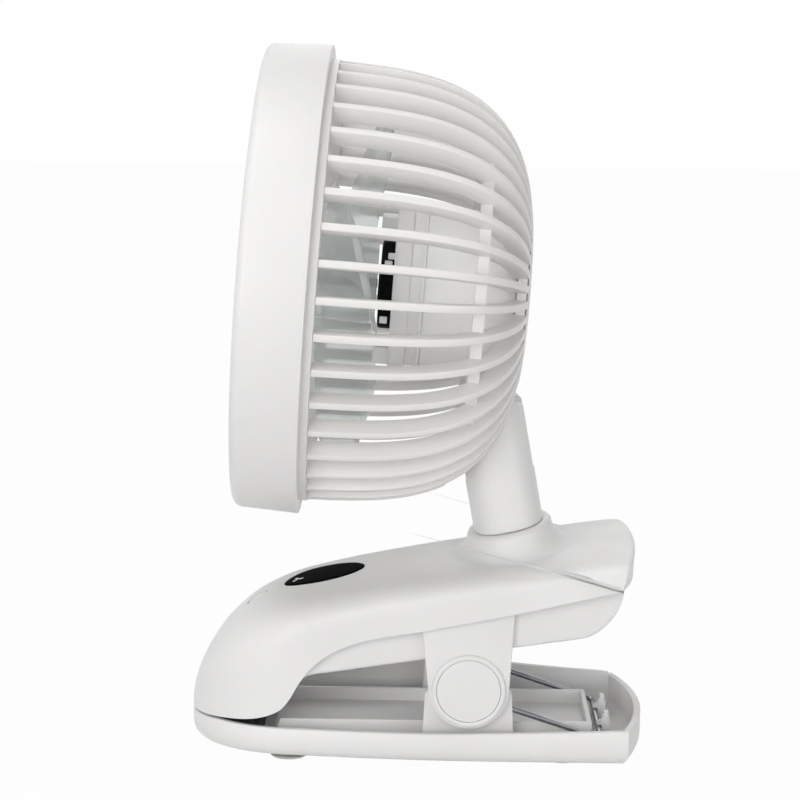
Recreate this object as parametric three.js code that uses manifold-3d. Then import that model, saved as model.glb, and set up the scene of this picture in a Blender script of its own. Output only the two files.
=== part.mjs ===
// Clip fan: a round caged fan head on a leaning neck, over a battery base that is the upper
// jaw of a spring clip. Millimetres, +Z up. The fan blows towards -Y, and the clip's hinge
// lies along X. The origin is under the middle of the lower jaw, where the feet stand.
import * as THREE from 'three';
import { mergeVertices } from 'three/addons/utils/BufferGeometryUtils.js';
import Module from 'manifold-3d';

const wasm = await Module();
wasm.setup();

// ---- Driving dimensions -------------------------------------------------------------------

const fitGap = 0.3; // between pieces that touch
const runGap = 0.6; // between pieces that turn past each other

// Lower jaw: an open tray with a round nose and a bowed back edge
const trayLength = 159.2;
const trayBack = trayLength / 2;
const noseY = -trayBack;
const trayHalfWidth = 35.2;
const noseHalfWidth = 31;
const noseLength = 39.5;
const taperLength = 69;
const backBow = 6.8; // how far the back edge bows out
const trayWall = 2.5;
const trayFloor = 2.4;
const rimHeight = 12.6;
const rimDip = 1.8; // how much the rim falls at the nose
const rimRise = 2; // how much the rim climbs to the back corners
const rimRiseStart = 10;
const footProud = 0.9;
const footRadius = 6.6;
const footX = 20;
const frontFootY = noseY + 35.2;
const backFootY = trayBack - 28.7;
const dividerX = 18.6;
const dividerWall = 1.8;
const dividerTop = 12.8;
const dividerFront = noseY + 30.6;
const dividerBack = trayBack - 19.1;
const padPlatformHeight = 9.5;
const padThickness = 2.8;
const padBack = noseY + 26.6;
const padRidgePitch = 3.2;

// Clip hinge
const hingeY = 17.9;
const hingeZ = 27.6;
const hingePinRadius = 2.5;
const lugOuterX = 31.5;
const lugThickness = 3.5;
const lugRadius = 13.9;
const lugHeadFrontY = 0.8;
const lugHeadBackY = 33.6;
const bossRadius = 12.6;
const bossProud = 1.7;
const hingeCapRadius = 10.8;
const hingeCapThickness = 1.2;
const earThickness = 3.4;
const earTopRadius = 11.5;
const earHalfWidth = 15.6;
const earShoulderZ = 25;
const earNotchWidth = 11;
const earNotchHeight = 5;

// Clip spring: two coils on the hinge pin, joined by a bar across the back of the tray
const wireRadius = 0.8;
const coilClearance = 0.5; // coil's bore over the pin
const coilTurns = 4;
const coilGap = 0.48; // between neighbouring turns
const lowerLegDrop = 18.5; // degrees below level
const barY = trayBack - 15.2;
const barBend = 3;
const upperLegY = 30;
const hookX = 10;
const hookWidth = 4;
const hookBack = 1.6;

// Base: upper housing, lower cover and what they hold
const housingWall = 2.4;
const housingEndY = trayBack - 3.6;
const housingHeight = 82.1;
const housingBow = 6.4;
const backRound = 5;
const bellyHeight = 37; // over the middle of the jaws
const bellyRise = 0.158; // how steeply the belly climbs to the back
const soleZ = 17.6;
const bellyHalfWidth = 28.3;
const coverWall = 2.2;
const lensLength = 28;
const lensWidth = 20;
const lensY = -33;
const lensProud = 0.25;
const lensThickness = 1.4;
const buttonRadius = 4;
const buttonY = -56.8;
const buttonProud = 0.35;
const buttonTravel = 0.8;
const buttonLength = 4.3;
const cellRadius = 9.2;
const cellLength = 65;
const cellY = -8;
const cellSlope = 9; // degrees, as the belly's floor
const boardWidth = 36;
const boardLength = 46;
const boardThickness = 1.6;
const socketWidth = 9;
const socketHeight = 3.3;
const socketDepth = 7.4;
const socketZ = 69;
const frontScrewX = 22;
const frontScrewY = -21;
const backScrewX = 20;
const backScrewY = 46;
const screwPostRadius = 2.8;
const screwRadius = 1.3;
const screwHeadRadius = 2.6;
const screwHeadHeight = 1.5;

// Neck and its swivel
const neckY = 32.3;
const neckZ = 80.2;
const neckLean = 12.66; // degrees towards the front
const neckHalfWidth = 18;
const neckHalfDepth = 12.8;
const neckTop = 44;
const tiltPivotHeight = 30; // along the neck
const clevisHalfWidth = 6.3;
const clevisDepth = 13;
const collarDrop = 9;
const spigotRadius = 9;
const spigotLength = 10;
const retainerRadius = 12.2;
const retainerThickness = 2.6;
const retainerBore = 4.5;
const retainerScrewX = 6.7;
const tiltPinRadius = 2.5;

// Head, along its own axis: 0 is the bezel ring's back edge, and plus is towards the back
const headTilt = 3.84; // degrees, front up
const pivotBack = 65.9;
const pivotDrop = 51.4;
const ringRadius = 80;
const ringDepth = 21.9;
const ringWall = 2.6;
const ringLip = 6.5;
const ringLipThickness = 2;
const ringWebInner = ringRadius - 9.5;
const ringWebThickness = 2.5;
const ringFillet = 3;
const cageRadius = ringRadius - 4;
const cageDepth = 75.5;
const cageCurve = 2.75; // exponent of the cage's outline
const ribCount = 40;
const ribTurn = 2.1; // degrees
const ribWidth = 2.6;
const ribDepth = 6.5;
const cageHoopDepth = 3;
const innerHoopBack = 57.5;
const innerHoopWidth = 4;
const innerHoopThickness = 2.4;
const endRingInner = 24;
const endRingOuter = 31.5;
const endRingFront = 68.9;
const endRingThickness = 3.6;
const slotFront = 51.4;
const slotWall = 2.5;
const rearCapThickness = 1.6;
const drumRadius = 28.4;
const drumWall = 2.2;
const drumFront = 26.9;
const drumSeam = 37.5;
const bandFront = 32.5;
const bandBack = 36.5;
const bandDepth = 1.5;
const tongueHalfWidth = 6;
const tongueRadius = 9;
const tongueFront = 54;
const motorRadius = 15.3;
const motorFront = 21.8;
const motorBack = 45;
const shaftRadius = 1.5;
const shaftFront = -5;
const hubRadius = 14;
const hubFront = -8.5;
const hubWall = 1.8;
const hubCore = 4.2;
const bladeCount = 3;
const bladeRadius = 66;
const bladeSpan = 58; // degrees that one blade covers
const bladeTurn = 16; // degrees, where the first blade points
const bladeThickness = 1.5;
const bladeRise = 19;
const bladeRake = 6;
const grilleRadius = ringRadius - ringWall - fitGap;
const grilleThickness = 3;
const grilleDome = 1.6;
const grilleHubRadius = 14;
const grilleBars = 24;
const grilleBarWidth = 1.8;
const grilleHoopRadii = [46];
const grilleSwirl = 26; // degrees

const roundSegments = 64;
const smallSegments = 12;

// ---- Solids ---------------------------------------------------------------------------------

const degrees = (angle) => (angle * Math.PI) / 180;

// A closed geometry with shared corners, no slivers and its faces pointing out
function weld(geometry) {
  geometry.deleteAttribute('normal');
  geometry.deleteAttribute('uv');
  const merged = mergeVertices(geometry, 1e-4);
  const position = merged.getAttribute('position').array;
  const corners = [];
  let volume = 0;
  const at = (i) => new THREE.Vector3().fromArray(position, 3 * i);
  for (let i = 0; i < merged.index.count; i += 3) {
    const [a, b, c] = [0, 1, 2].map((k) => merged.index.getX(i + k));
    if (a === b || b === c || c === a) continue;
    corners.push(a, b, c);
    volume += at(a).dot(at(b).cross(at(c)));
  }
  if (volume < 0) corners.reverse();
  return { position, corners };
}

function solid(geometry) {
  const { position, corners } = weld(geometry);
  const mesh = new wasm.Mesh({
    numProp: 3,
    vertProperties: new Float32Array(position),
    triVerts: new Uint32Array(corners),
  });
  return new wasm.Manifold(mesh);
}

function geometryOf(manifold) {
  const mesh = manifold.getMesh();
  const geometry = new THREE.BufferGeometry();
  geometry.setAttribute('position', new THREE.BufferAttribute(mesh.vertProperties, 3));
  geometry.setIndex(new THREE.BufferAttribute(mesh.triVerts, 1));
  geometry.computeVertexNormals();
  return geometry;
}

const join = (...solids) => solids.reduce((all, next) => all.add(next));
const cut = (body, ...tools) => tools.reduce((rest, tool) => rest.subtract(tool), body);

// A solid from sections with equally many points, closed at both ends
function loft(sections) {
  const count = sections[0].length;
  const points = sections.flat();
  const index = [];
  for (let s = 0; s < sections.length - 1; s += 1) {
    for (let k = 0; k < count; k += 1) {
      const a = s * count + k;
      const b = s * count + ((k + 1) % count);
      index.push(a, b, b + count, a, b + count, a + count);
    }
  }
  for (const [first, flip] of [[0, true], [(sections.length - 1) * count, false]]) {
    const flat = sections[first / count].map((p) => p.clone());
    const middle = flat.reduce((sum, p) => sum.add(p), new THREE.Vector3()).divideScalar(count);
    const centre = points.push(middle) - 1;
    for (let k = 0; k < count; k += 1) {
      const pair = [first + k, first + ((k + 1) % count)];
      if (flip) pair.reverse();
      index.push(centre, ...pair);
    }
  }
  const geometry = new THREE.BufferGeometry().setFromPoints(points);
  geometry.setIndex(index);
  return geometry;
}

const shapeOf = (points) => new THREE.Shape(points.map(([x, y]) => new THREE.Vector2(x, y)));

// An outline in X and Y, drawn out along Z
function slab(points, low, high) {
  const geometry = new THREE.ExtrudeGeometry(shapeOf(points), {
    depth: high - low,
    bevelEnabled: false,
  });
  return geometry.translate(0, 0, low);
}

// An outline in Y and Z, drawn out along X
function sideSlab(points, low, high) {
  const geometry = slab(points, low, high);
  const toSide = new THREE.Matrix4().makeBasis(
    new THREE.Vector3(0, 1, 0),
    new THREE.Vector3(0, 0, 1),
    new THREE.Vector3(1, 0, 0),
  );
  return geometry.applyMatrix4(toSide);
}

// A round form about Y from [radius, distance along Y] pairs
function turned(profile, segments = roundSegments) {
  return new THREE.LatheGeometry(profile.map(([r, y]) => new THREE.Vector2(r, y)), segments);
}

const disc = (radius, low, high, segments = roundSegments) =>
  turned([[0, low], [radius, low], [radius, high], [0, high]], segments);

const tube = (inner, outer, low, high, segments = roundSegments) =>
  turned([[inner, low], [outer, low], [outer, high], [inner, high], [inner, low]], segments);

function alongX(geometry, x, y, z) {
  return geometry.rotateZ(-Math.PI / 2).translate(x, y, z);
}

function alongZ(geometry, x, y, z) {
  return geometry.rotateX(Math.PI / 2).translate(x, y, z);
}

function box(x0, x1, y0, y1, z0, z1) {
  const geometry = new THREE.BoxGeometry(x1 - x0, y1 - y0, z1 - z0);
  return geometry.translate((x0 + x1) / 2, (y0 + y1) / 2, (z0 + z1) / 2);
}

function arc(y, z, radius, from, to, steps) {
  const points = [];
  for (let k = 0; k <= steps; k += 1) {
    const angle = degrees(from + ((to - from) * k) / steps);
    points.push([y + radius * Math.cos(angle), z + radius * Math.sin(angle)]);
  }
  return points;
}

// The height of a smooth line through a few points, at one distance along Y
function heightOn(curve, y) {
  let low = 0;
  let high = 1;
  for (let k = 0; k < 40; k += 1) {
    const middle = (low + high) / 2;
    if (curve.getPoint(middle).x < y) low = middle;
    else high = middle;
  }
  return curve.getPoint(low).y;
}

const lineThrough = (points) =>
  new THREE.SplineCurve(points.map(([y, z]) => new THREE.Vector2(y, z)));

// ---- Outlines that several pieces share ------------------------------------------------------

const shoulderY = noseY + noseLength;
const taperEnd = shoulderY + taperLength;
const trayBottom = footProud + fitGap;
const floorTop = trayBottom + trayFloor;
const bowRadius = (bow) => (trayHalfWidth ** 2 + bow ** 2) / (2 * bow);

// Half the width of the plan outline that both jaws follow, drawn in by inset
function planHalfWidth(y, inset) {
  if (y < shoulderY) {
    const part = (shoulderY - y) / (noseLength - inset);
    return (noseHalfWidth - inset) * Math.sqrt(Math.max(0, 1 - part ** 2));
  }
  const narrow = trayHalfWidth - noseHalfWidth;
  const left = Math.max(0, (taperEnd - y) / taperLength);
  return trayHalfWidth - narrow * left ** 2 - inset;
}

const bowSteps = 5;

// The right half of the plan, from the nose's tip to the middle of a bowed back edge
function planHalf(inset, back, bow) {
  const half = [];
  const noseSteps = 10;
  for (let k = 0; k <= noseSteps; k += 1) {
    const y = shoulderY - (noseLength - inset) * Math.cos((k / noseSteps) * (Math.PI / 2));
    half.push([planHalfWidth(y, inset), y]);
  }
  const taperSteps = 3;
  for (let k = 1; k <= taperSteps; k += 1) {
    const y = shoulderY + (taperLength * k) / taperSteps;
    half.push([planHalfWidth(y, inset), y]);
  }
  const radius = bowRadius(bow);
  const centre = back - radius;
  const halfWidth = trayHalfWidth - inset;
  const reach = Math.asin(halfWidth / (radius - inset));
  for (let k = 0; k <= bowSteps; k += 1) {
    const angle = reach * (1 - k / bowSteps);
    half.push([(radius - inset) * Math.sin(angle), centre + (radius - inset) * Math.cos(angle)]);
  }
  return half;
}

function plan(inset, back = trayBack, bow = backBow) {
  const right = planHalf(inset, back, bow);
  const left = right.slice(1, -1).map(([x, y]) => [-x, y]).reverse();
  return [...right, ...left];
}

// A place on the base's profile: shares of the jaw's length from the nose, and of the height
const onProfile = ([along, up]) => [noseY + along * trayLength, up * housingHeight];

const skirtLine = lineThrough([
  [-0.0151, 0.151], [0.0415, 0.162], [0.0861, 0.1717], [0.1288, 0.1815], [0.1627, 0.1961],
  [0.1859, 0.2144], [0.2167, 0.2509], [0.2381, 0.3045], [0.2601, 0.3703], [0.2921, 0.4385],
  [0.3568, 0.5091], [0.4209, 0.5518], [0.5063, 0.5907], [0.6124, 0.6175], [0.7104, 0.6456],
  [0.8034, 0.687], [0.8882, 0.7406], [0.9209, 0.76], [0.9523, 0.7637], [1.0151, 0.7637],
].map(onProfile));

const crownLine = lineThrough([
  [0.0019, 0.1096], [0.0031, 0.2071], [0.0138, 0.324], [0.0364, 0.419], [0.0817, 0.5457],
  [0.1482, 0.6687], [0.2374, 0.7552], [0.3266, 0.7966], [0.4598, 0.8538], [0.5923, 0.9013],
  [0.701, 0.933], [0.8134, 0.9635],
].map(onProfile).concat([[housingEndY - backRound, housingHeight]]));

const sideLine = lineThrough([
  [-0.0151, 0.1096], [0.0226, 0.1462], [0.0603, 0.2192], [0.1231, 0.341], [0.2173, 0.4872],
  [0.3116, 0.5847], [0.4372, 0.6638], [0.5628, 0.7186], [0.7513, 0.7917], [1.0025, 0.8892],
].map(onProfile));

// The housing's outer form drawn in by inset, down to a level below both jaws' meeting line
function housingForm(inset) {
  const sections = [];
  const stations = 17;
  const crownSteps = 5;
  const bottom = 6;
  const power = 2 / 2.3;
  const addSection = (y, top, side, half) => {
    const bowed = THREE.MathUtils.smoothstep(y, housingEndY - 36, housingEndY - 14);
    const point = (x, z) => {
      const radius = bowRadius(housingBow);
      const forward = (radius - Math.sqrt(radius ** 2 - x ** 2)) * bowed;
      return new THREE.Vector3(x, y - forward, z);
    };
    const right = [[half, bottom]];
    for (let k = 0; k < crownSteps; k += 1) {
      const turn = (k / crownSteps) * (Math.PI / 2);
      right.push([half * Math.cos(turn) ** power, side + (top - side) * Math.sin(turn) ** power]);
    }
    const left = right.map(([x, z]) => [-x, z]).reverse();
    sections.push([...right, [0, top], ...left].map(([x, z]) => point(x, z)));
  };
  let top = 0;
  let side = 0;
  let half = 0;
  for (let s = 1; s <= stations; s += 1) {
    const part = (s / stations) ** 1.25;
    const here = crownLine.getPointAt(part);
    const along = crownLine.getTangentAt(part);
    const y = here.x + inset * along.y;
    top = Math.max(here.y - inset * along.x, bottom + 1);
    half = Math.max(planHalfWidth(y, inset), 0.4);
    side = Math.min(heightOn(sideLine, y) - inset * 0.5, top - 0.4);
    addSection(y, top, side, half);
  }
  const round = Math.max(backRound - inset, 1);
  for (const turn of [degrees(35), degrees(62)]) {
    const drop = round * (1 - Math.cos(turn));
    addSection(housingEndY - backRound + round * Math.sin(turn), top - drop, side - drop, half);
  }
  addSection(housingEndY - inset + 3, top - round, side - round, half);
  const backEdge = planHalf(inset, housingEndY, housingBow).slice(-bowSteps - 1);
  const wide = trayHalfWidth + 4;
  const backCut = slab([
    [wide, noseY - 5], [wide, backEdge[0][1] - wide * 0.12], ...backEdge,
    ...backEdge.slice(0, -1).map(([x, y]) => [-x, y]).reverse(),
    [-wide, backEdge[0][1] - wide * 0.12], [-wide, noseY - 5],
  ], 0, neckZ + collarDrop);
  return solid(loft(sections)).intersect(solid(backCut));
}

// Everything below the skirt's edge
function belowSkirt(lift) {
  const steps = 20;
  const edge = [];
  for (let k = 0; k <= steps; k += 1) {
    const point = skirtLine.getPoint(k / steps);
    edge.push([point.x, point.y + lift]);
  }
  return sideSlab([[-90, -5], [90, -5], [90, edge[steps][1]], ...edge.reverse(), [-90, 12]],
    -trayHalfWidth - 5, trayHalfWidth + 5);
}

// ---- Lower jaw --------------------------------------------------------------------------------

const bellyZ = (y) => bellyHeight + bellyRise * y;
const earOuterX = lugOuterX - lugThickness - fitGap;
const earInnerX = earOuterX - earThickness;
const coilRadius = hingePinRadius + coilClearance + wireRadius;
const coilOuterX = earInnerX - fitGap - wireRadius;

// The slope line of the spring's lower legs, tangent to the coils' undersides
function lowerLegStart() {
  const drop = degrees(lowerLegDrop);
  return [hingeY - coilRadius * Math.sin(drop), hingeZ - coilRadius * Math.cos(drop)];
}

const barZ = lowerLegStart()[1] - (barY - lowerLegStart()[0]) * Math.tan(degrees(lowerLegDrop));

// The part of the plan in front of one distance along Y
function noseSlab(inset, back, low, high) {
  const half = trayHalfWidth + 1;
  return solid(slab(plan(inset), low, high))
    .intersect(solid(box(-half, half, noseY - 1, back, low - 1, high + 1)));
}

function trayShell() {
  const at = (inset, z) => plan(inset).map(([x, y]) => new THREE.Vector3(x, y, z));
  const wallTop = rimHeight + rimRise + 3;
  const outer = loft([
    at(4.6, trayBottom), at(2.2, trayBottom + 0.6), at(0.8, trayBottom + 1.9),
    at(0, trayBottom + 4), at(0, wallTop),
  ]);
  const inner = loft([
    at(trayWall + 3, floorTop), at(trayWall + 0.9, floorTop + 0.7), at(trayWall, floorTop + 2.6),
    at(trayWall, wallTop + 1),
  ]);
  const overRim = sideSlab([
    [noseY - 5, rimHeight - rimDip], [noseY + 10, rimHeight - 0.1], [rimRiseStart, rimHeight],
    [trayBack, rimHeight + rimRise + 0.2], [trayBack + 5, 30], [noseY - 5, 30],
  ], -trayHalfWidth - 5, trayHalfWidth + 5);
  const platform = noseSlab(trayWall - 0.4, padBack - 1.2, trayBottom + 1, padPlatformHeight);
  return join(cut(solid(outer), solid(inner), solid(overRim)), platform);
}

function trayDividers() {
  const half = dividerWall / 2;
  const wallOutline = [
    [dividerFront - 2, floorTop - 1], [dividerBack + half, floorTop - 1],
    [dividerBack + half, dividerTop], [dividerFront + 1.5, dividerTop],
  ];
  const right = sideSlab(wallOutline, dividerX - half, dividerX + half);
  const left = sideSlab(wallOutline, -dividerX - half, -dividerX + half);
  const back = box(-dividerX, dividerX, dividerBack - half, dividerBack + half,
    floorTop - 1, dividerTop);
  return join(solid(right), solid(left), solid(back));
}

function hingeEar(innerX) {
  const outline = [
    [hingeY - earHalfWidth - 0.6, floorTop - 1], [hingeY - earNotchWidth / 2, floorTop - 1],
    [hingeY - earNotchWidth / 2, floorTop + earNotchHeight],
    [hingeY + earNotchWidth / 2, floorTop + earNotchHeight],
    [hingeY + earNotchWidth / 2, floorTop - 1], [hingeY + earHalfWidth + 0.6, floorTop - 1],
    [hingeY + earHalfWidth - 0.6, earShoulderZ],
    ...arc(hingeY, hingeZ, earTopRadius, 12, 168, 12),
    [hingeY - earHalfWidth + 0.6, earShoulderZ],
  ];
  return solid(sideSlab(outline, innerX, innerX + earThickness));
}

// One of the two catches that hold the spring's bar down at the back of the tray
function barHook(x) {
  const seat = barZ - wireRadius - fitGap;
  const over = barZ + wireRadius + fitGap;
  const back = barY + wireRadius + fitGap;
  const outline = [
    [barY - 1.2, floorTop - 1], [back + hookBack, floorTop - 1], [back + hookBack, over + 3.4],
    [back, over + 3.4], [back, over + 1.4], [barY - 0.6, over + 0.6], [barY - 0.6, over],
    [back, over], [back, seat], [barY - 1.2, seat],
  ];
  return solid(sideSlab(outline, x - hookWidth / 2, x + hookWidth / 2));
}

function lowerJaw() {
  const pinBore = alongX(disc(hingePinRadius + fitGap, -40, 40, smallSegments), 0, hingeY, hingeZ);
  return cut(
    join(trayShell(), trayDividers(), hingeEar(earInnerX), hingeEar(-earOuterX),
      barHook(hookX), barHook(-hookX)),
    solid(pinBore),
  );
}

// A rubber grip pad with ridges across, in the round nose of a jaw
function gripPad(bottom, top, inset, ridgeHeight) {
  let pad = noseSlab(inset, padBack, bottom, top);
  const depth = Math.abs(ridgeHeight);
  const face = ridgeHeight > 0 ? top : bottom;
  for (let y = padBack - padRidgePitch; y > noseY + 8; y -= padRidgePitch) {
    const groove = sideSlab([[y - 0.7, face + ridgeHeight], [y + 0.7, face + ridgeHeight],
      [y, face - ridgeHeight]], -trayHalfWidth, trayHalfWidth);
    if (depth > 0) pad = pad.subtract(solid(groove));
  }
  return pad;
}

function foot(x, y) {
  const profile = [[0, 0], [footRadius - 0.8, 0], [footRadius, footProud], [0, footProud]];
  return solid(alongZ(turned(profile, 16), x, y, 0));
}

// ---- Spring -----------------------------------------------------------------------------------

// One half's path, from the end of the upper leg to the middle of the bar
function springHalf(side) {
  const path = [];
  const stepsPerTurn = 7;
  const upperEnd = bellyZ(upperLegY) - wireRadius - fitGap;
  const reach = Math.hypot(upperLegY - hingeY, upperEnd - hingeZ);
  const direction = Math.atan2(upperEnd - hingeZ, upperLegY - hingeY);
  const start = direction + Math.acos(coilRadius / reach);
  const end = degrees(270 - lowerLegDrop);
  const sweep = coilTurns * 2 * Math.PI + (start + 2 * Math.PI - end);
  const steps = Math.round((sweep / (2 * Math.PI)) * stepsPerTurn);
  const pitch = 2 * wireRadius + coilGap;
  const length = (sweep / (2 * Math.PI)) * pitch;
  const innerX = coilOuterX - length;
  const at = (x, y, z) => path.push(new THREE.Vector3(side * x, y, z));
  at(innerX, upperLegY, upperEnd);
  const top = [hingeY + coilRadius * Math.cos(start), hingeZ + coilRadius * Math.sin(start)];
  at(innerX, (2 * upperLegY + top[0]) / 3, (2 * upperEnd + top[1]) / 3);
  for (let k = 0; k <= steps; k += 1) {
    const angle = start + (sweep * k) / steps;
    const x = innerX + (length * k) / steps;
    at(x, hingeY + coilRadius * Math.cos(angle), hingeZ + coilRadius * Math.sin(angle));
  }
  const slope = Math.tan(degrees(lowerLegDrop));
  const legY = [barY - 16, barY - barBend];
  for (const y of legY) at(coilOuterX, y, barZ + (barY - y) * slope);
  at(coilOuterX - barBend * 0.3, barY - barBend * 0.3, barZ + barBend * 0.3 * slope);
  at(coilOuterX - barBend, barY, barZ);
  return path;
}

// A round wire along a path of points, as one closed tube
function wire(path, radius, sides) {
  const sections = [];
  const normal = new THREE.Vector3(1, 0, 0);
  for (let k = 0; k < path.length; k += 1) {
    const before = path[Math.max(k - 1, 0)];
    const after = path[Math.min(k + 1, path.length - 1)];
    const along = after.clone().sub(before).normalize();
    if (Math.abs(along.dot(normal)) > 0.98) normal.set(0, 0, 1);
    normal.addScaledVector(along, -along.dot(normal)).normalize();
    const across = along.clone().cross(normal);
    sections.push(Array.from({ length: sides }, (_, s) => {
      const turn = (2 * Math.PI * s) / sides;
      return path[k].clone()
        .addScaledVector(normal, radius * Math.cos(turn))
        .addScaledVector(across, radius * Math.sin(turn));
    }));
  }
  return loft(sections);
}

// The least gap between two stretches of wire that aren't next to each other
function leastGap(path, radius, apart) {
  let least = Infinity;
  const fine = [];
  for (let k = 0; k < path.length - 1; k += 1) {
    for (let part = 0; part < 4; part += 1) {
      fine.push(path[k].clone().lerp(path[k + 1], part / 4));
    }
  }
  const travelled = [0];
  for (let k = 1; k < fine.length; k += 1) {
    travelled.push(travelled[k - 1] + fine[k].distanceTo(fine[k - 1]));
  }
  for (let a = 0; a < fine.length; a += 1) {
    for (let b = a + 1; b < fine.length; b += 1) {
      if (travelled[b] - travelled[a] > apart) {
        least = Math.min(least, fine[a].distanceTo(fine[b]));
      }
    }
  }
  return least - 2 * radius;
}

function clipSpring() {
  const right = springHalf(1);
  const left = springHalf(-1).reverse();
  const path = [...right, ...left];
  const gap = leastGap(path, wireRadius, 3 * coilRadius);
  console.log(`clip_spring: least gap of the wire to itself ${gap.toFixed(2)} mm`);
  return solid(wire(path, wireRadius, 5));
}

// ---- Upper jaw: housing, cover and electrics ----------------------------------------------------

const lean = degrees(neckLean);

// Puts a form made about the neck's axis in place over the base
function onNeck(geometry) {
  return geometry.rotateX(lean).translate(0, neckY, neckZ);
}

// An oval form about the neck's axis from [radius, height] pairs, widened sideways
function neckRound(profile, widen, segments = 32) {
  return turned(profile, segments).rotateX(Math.PI / 2).scale(widen, 1, 1);
}

const neckWiden = neckHalfWidth / neckHalfDepth;

function collar() {
  const top = -fitGap;
  const r = neckHalfDepth;
  const profile = [
    [0, -collarDrop - 8], [r + 11, -collarDrop - 3], [r + 8.4, -collarDrop + 1.4],
    [r + 5, -collarDrop + 3.9], [r + 2.2, top - 1.6], [r + 0.6, top], [0, top],
  ];
  return solid(onNeck(neckRound(profile, neckWiden, 26)));
}

function lensOutline(grow) {
  const points = [];
  const steps = 20;
  for (let k = 0; k < steps; k += 1) {
    const turn = (2 * Math.PI * k) / steps;
    points.push([
      (lensWidth / 2 + grow) * Math.cos(turn),
      lensY + (lensLength / 2 + grow) * Math.sin(turn),
    ]);
  }
  return points;
}

const lensDepth = lensThickness - lensProud;

function displayLens() {
  const blank = solid(slab(lensOutline(0), 40, 80));
  return blank.intersect(housingForm(-lensProud)).subtract(housingForm(lensDepth));
}

// Where the power button sits: its place on the crown and the angle of its axis
function buttonSeat() {
  const step = 1;
  const z = heightOn(crownLine, buttonY);
  const rise = heightOn(crownLine, buttonY + step) - heightOn(crownLine, buttonY - step);
  return { z, angle: Math.atan2(rise, 2 * step) };
}

// Puts a form made along +Z, with the crown at 0, on the button's seat
function onButtonSeat(geometry) {
  const seat = buttonSeat();
  return geometry.rotateX(seat.angle).translate(0, buttonY, seat.z);
}

function powerButton() {
  const top = buttonProud;
  const profile = [
    [0, top - buttonLength], [buttonRadius, top - buttonLength], [buttonRadius, top - 0.5],
    [buttonRadius - 0.5, top], [0, top],
  ];
  return solid(onButtonSeat(turned(profile, 16).rotateX(Math.PI / 2)));
}

const buttonBoardTop = buttonProud - buttonLength - buttonTravel - 0.1;

const screwPlaces = [
  { x: frontScrewX, y: frontScrewY },
  { x: -frontScrewX, y: frontScrewY },
  { x: backScrewX, y: backScrewY },
  { x: -backScrewX, y: backScrewY },
];

function upperHousing() {
  const outer = join(housingForm(0), collar());
  const cavity = housingForm(housingWall);
  const lensBed = solid(slab(lensOutline(fitGap), 40, 90)).subtract(housingForm(lensDepth + fitGap));
  const boreRadius = spigotRadius + fitGap;
  const bossBottom = fitGap - spigotLength;
  const boss = solid(onNeck(tube(boreRadius, boreRadius + 3, bossBottom, -2, 20)
    .rotateX(Math.PI / 2)));
  const bore = solid(onNeck(disc(boreRadius, -30, 10, 20).rotateX(Math.PI / 2)));
  const guideEnd = buttonBoardTop + fitGap;
  const guide = solid(onButtonSeat(
    tube(buttonRadius + fitGap, buttonRadius + 1.8, guideEnd, -housingWall + 0.6, 16)
      .rotateX(Math.PI / 2)));
  const buttonBore = solid(onButtonSeat(
    disc(buttonRadius + fitGap, guideEnd - 2, 4, 16).rotateX(Math.PI / 2)));
  const posts = screwPlaces.map(({ x, y }) => {
    const top = heightOn(crownLine, y) - housingWall - 1;
    const bottom = bellyZ(y + screwPostRadius) + coverWall + fitGap;
    return solid(alongZ(tube(screwRadius + fitGap, screwPostRadius, bottom, top, 8), x, y, 0));
  });
  const postLimit = housingForm(housingWall - 0.8);
  const postGroup = join(...posts).intersect(postLimit);
  const socketHole = box(-socketWidth / 2 - fitGap, socketWidth / 2 + fitGap,
    housingEndY - 14, housingEndY + 3,
    socketZ - socketHeight / 2 - fitGap, socketZ + socketHeight / 2 + fitGap);
  const shell = cut(outer, cavity, solid(belowSkirt(0)), lensBed);
  return cut(join(shell, boss, guide, postGroup), bore, buttonBore, solid(socketHole));
}

// The line of the belly and the jaw's sole, from the nose to the back
function bellyOutline(lift) {
  const front = [[-0.02, 0.2144], [0.1797, 0.2192], [0.2079, 0.2607], [0.2286, 0.3167],
    [0.2582, 0.3751], [0.299, 0.3886]].map(onProfile);
  const back = [[0.8769, 0.5871], [0.9052, 0.6212]].map(onProfile);
  const end = housingEndY - lift;
  const low = [
    ...front.map(([y, z]) => [y, z + lift]),
    [0, bellyZ(0) + lift], [trayBack * 0.68, bellyZ(trayBack * 0.68) + lift],
    ...back.map(([y, z]) => [y, z + lift * 0.9]),
    [end - 8.4, housingHeight * 0.67], [end - 7, housingHeight * 0.727],
    [end - 3.9, housingHeight * 0.748 + lift * 0.3], [end - 3.2, housingHeight * 0.79],
  ];
  const high = [
    [end - 14, housingHeight * 0.731],
    ...[[0.7638, 0.6638], [0.5, 0.5907], [0.3618, 0.5238], [0.2864, 0.4568]].map(onProfile),
    ...[[0.2456, 0.3837], [0.2173, 0.3106], [0.1859, 0.2607], [-0.02, 0.2375]].map(onProfile)
      .map(([y, z]) => [y, z + lift * 0.5]),
  ];
  return [...low, ...high];
}

function tangentTurn(y, z, side) {
  const reach = Math.hypot(y - hingeY, z - hingeZ);
  const direction = Math.atan2(z - hingeZ, y - hingeY);
  return THREE.MathUtils.radToDeg(direction + side * Math.acos(lugRadius / reach));
}

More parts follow.
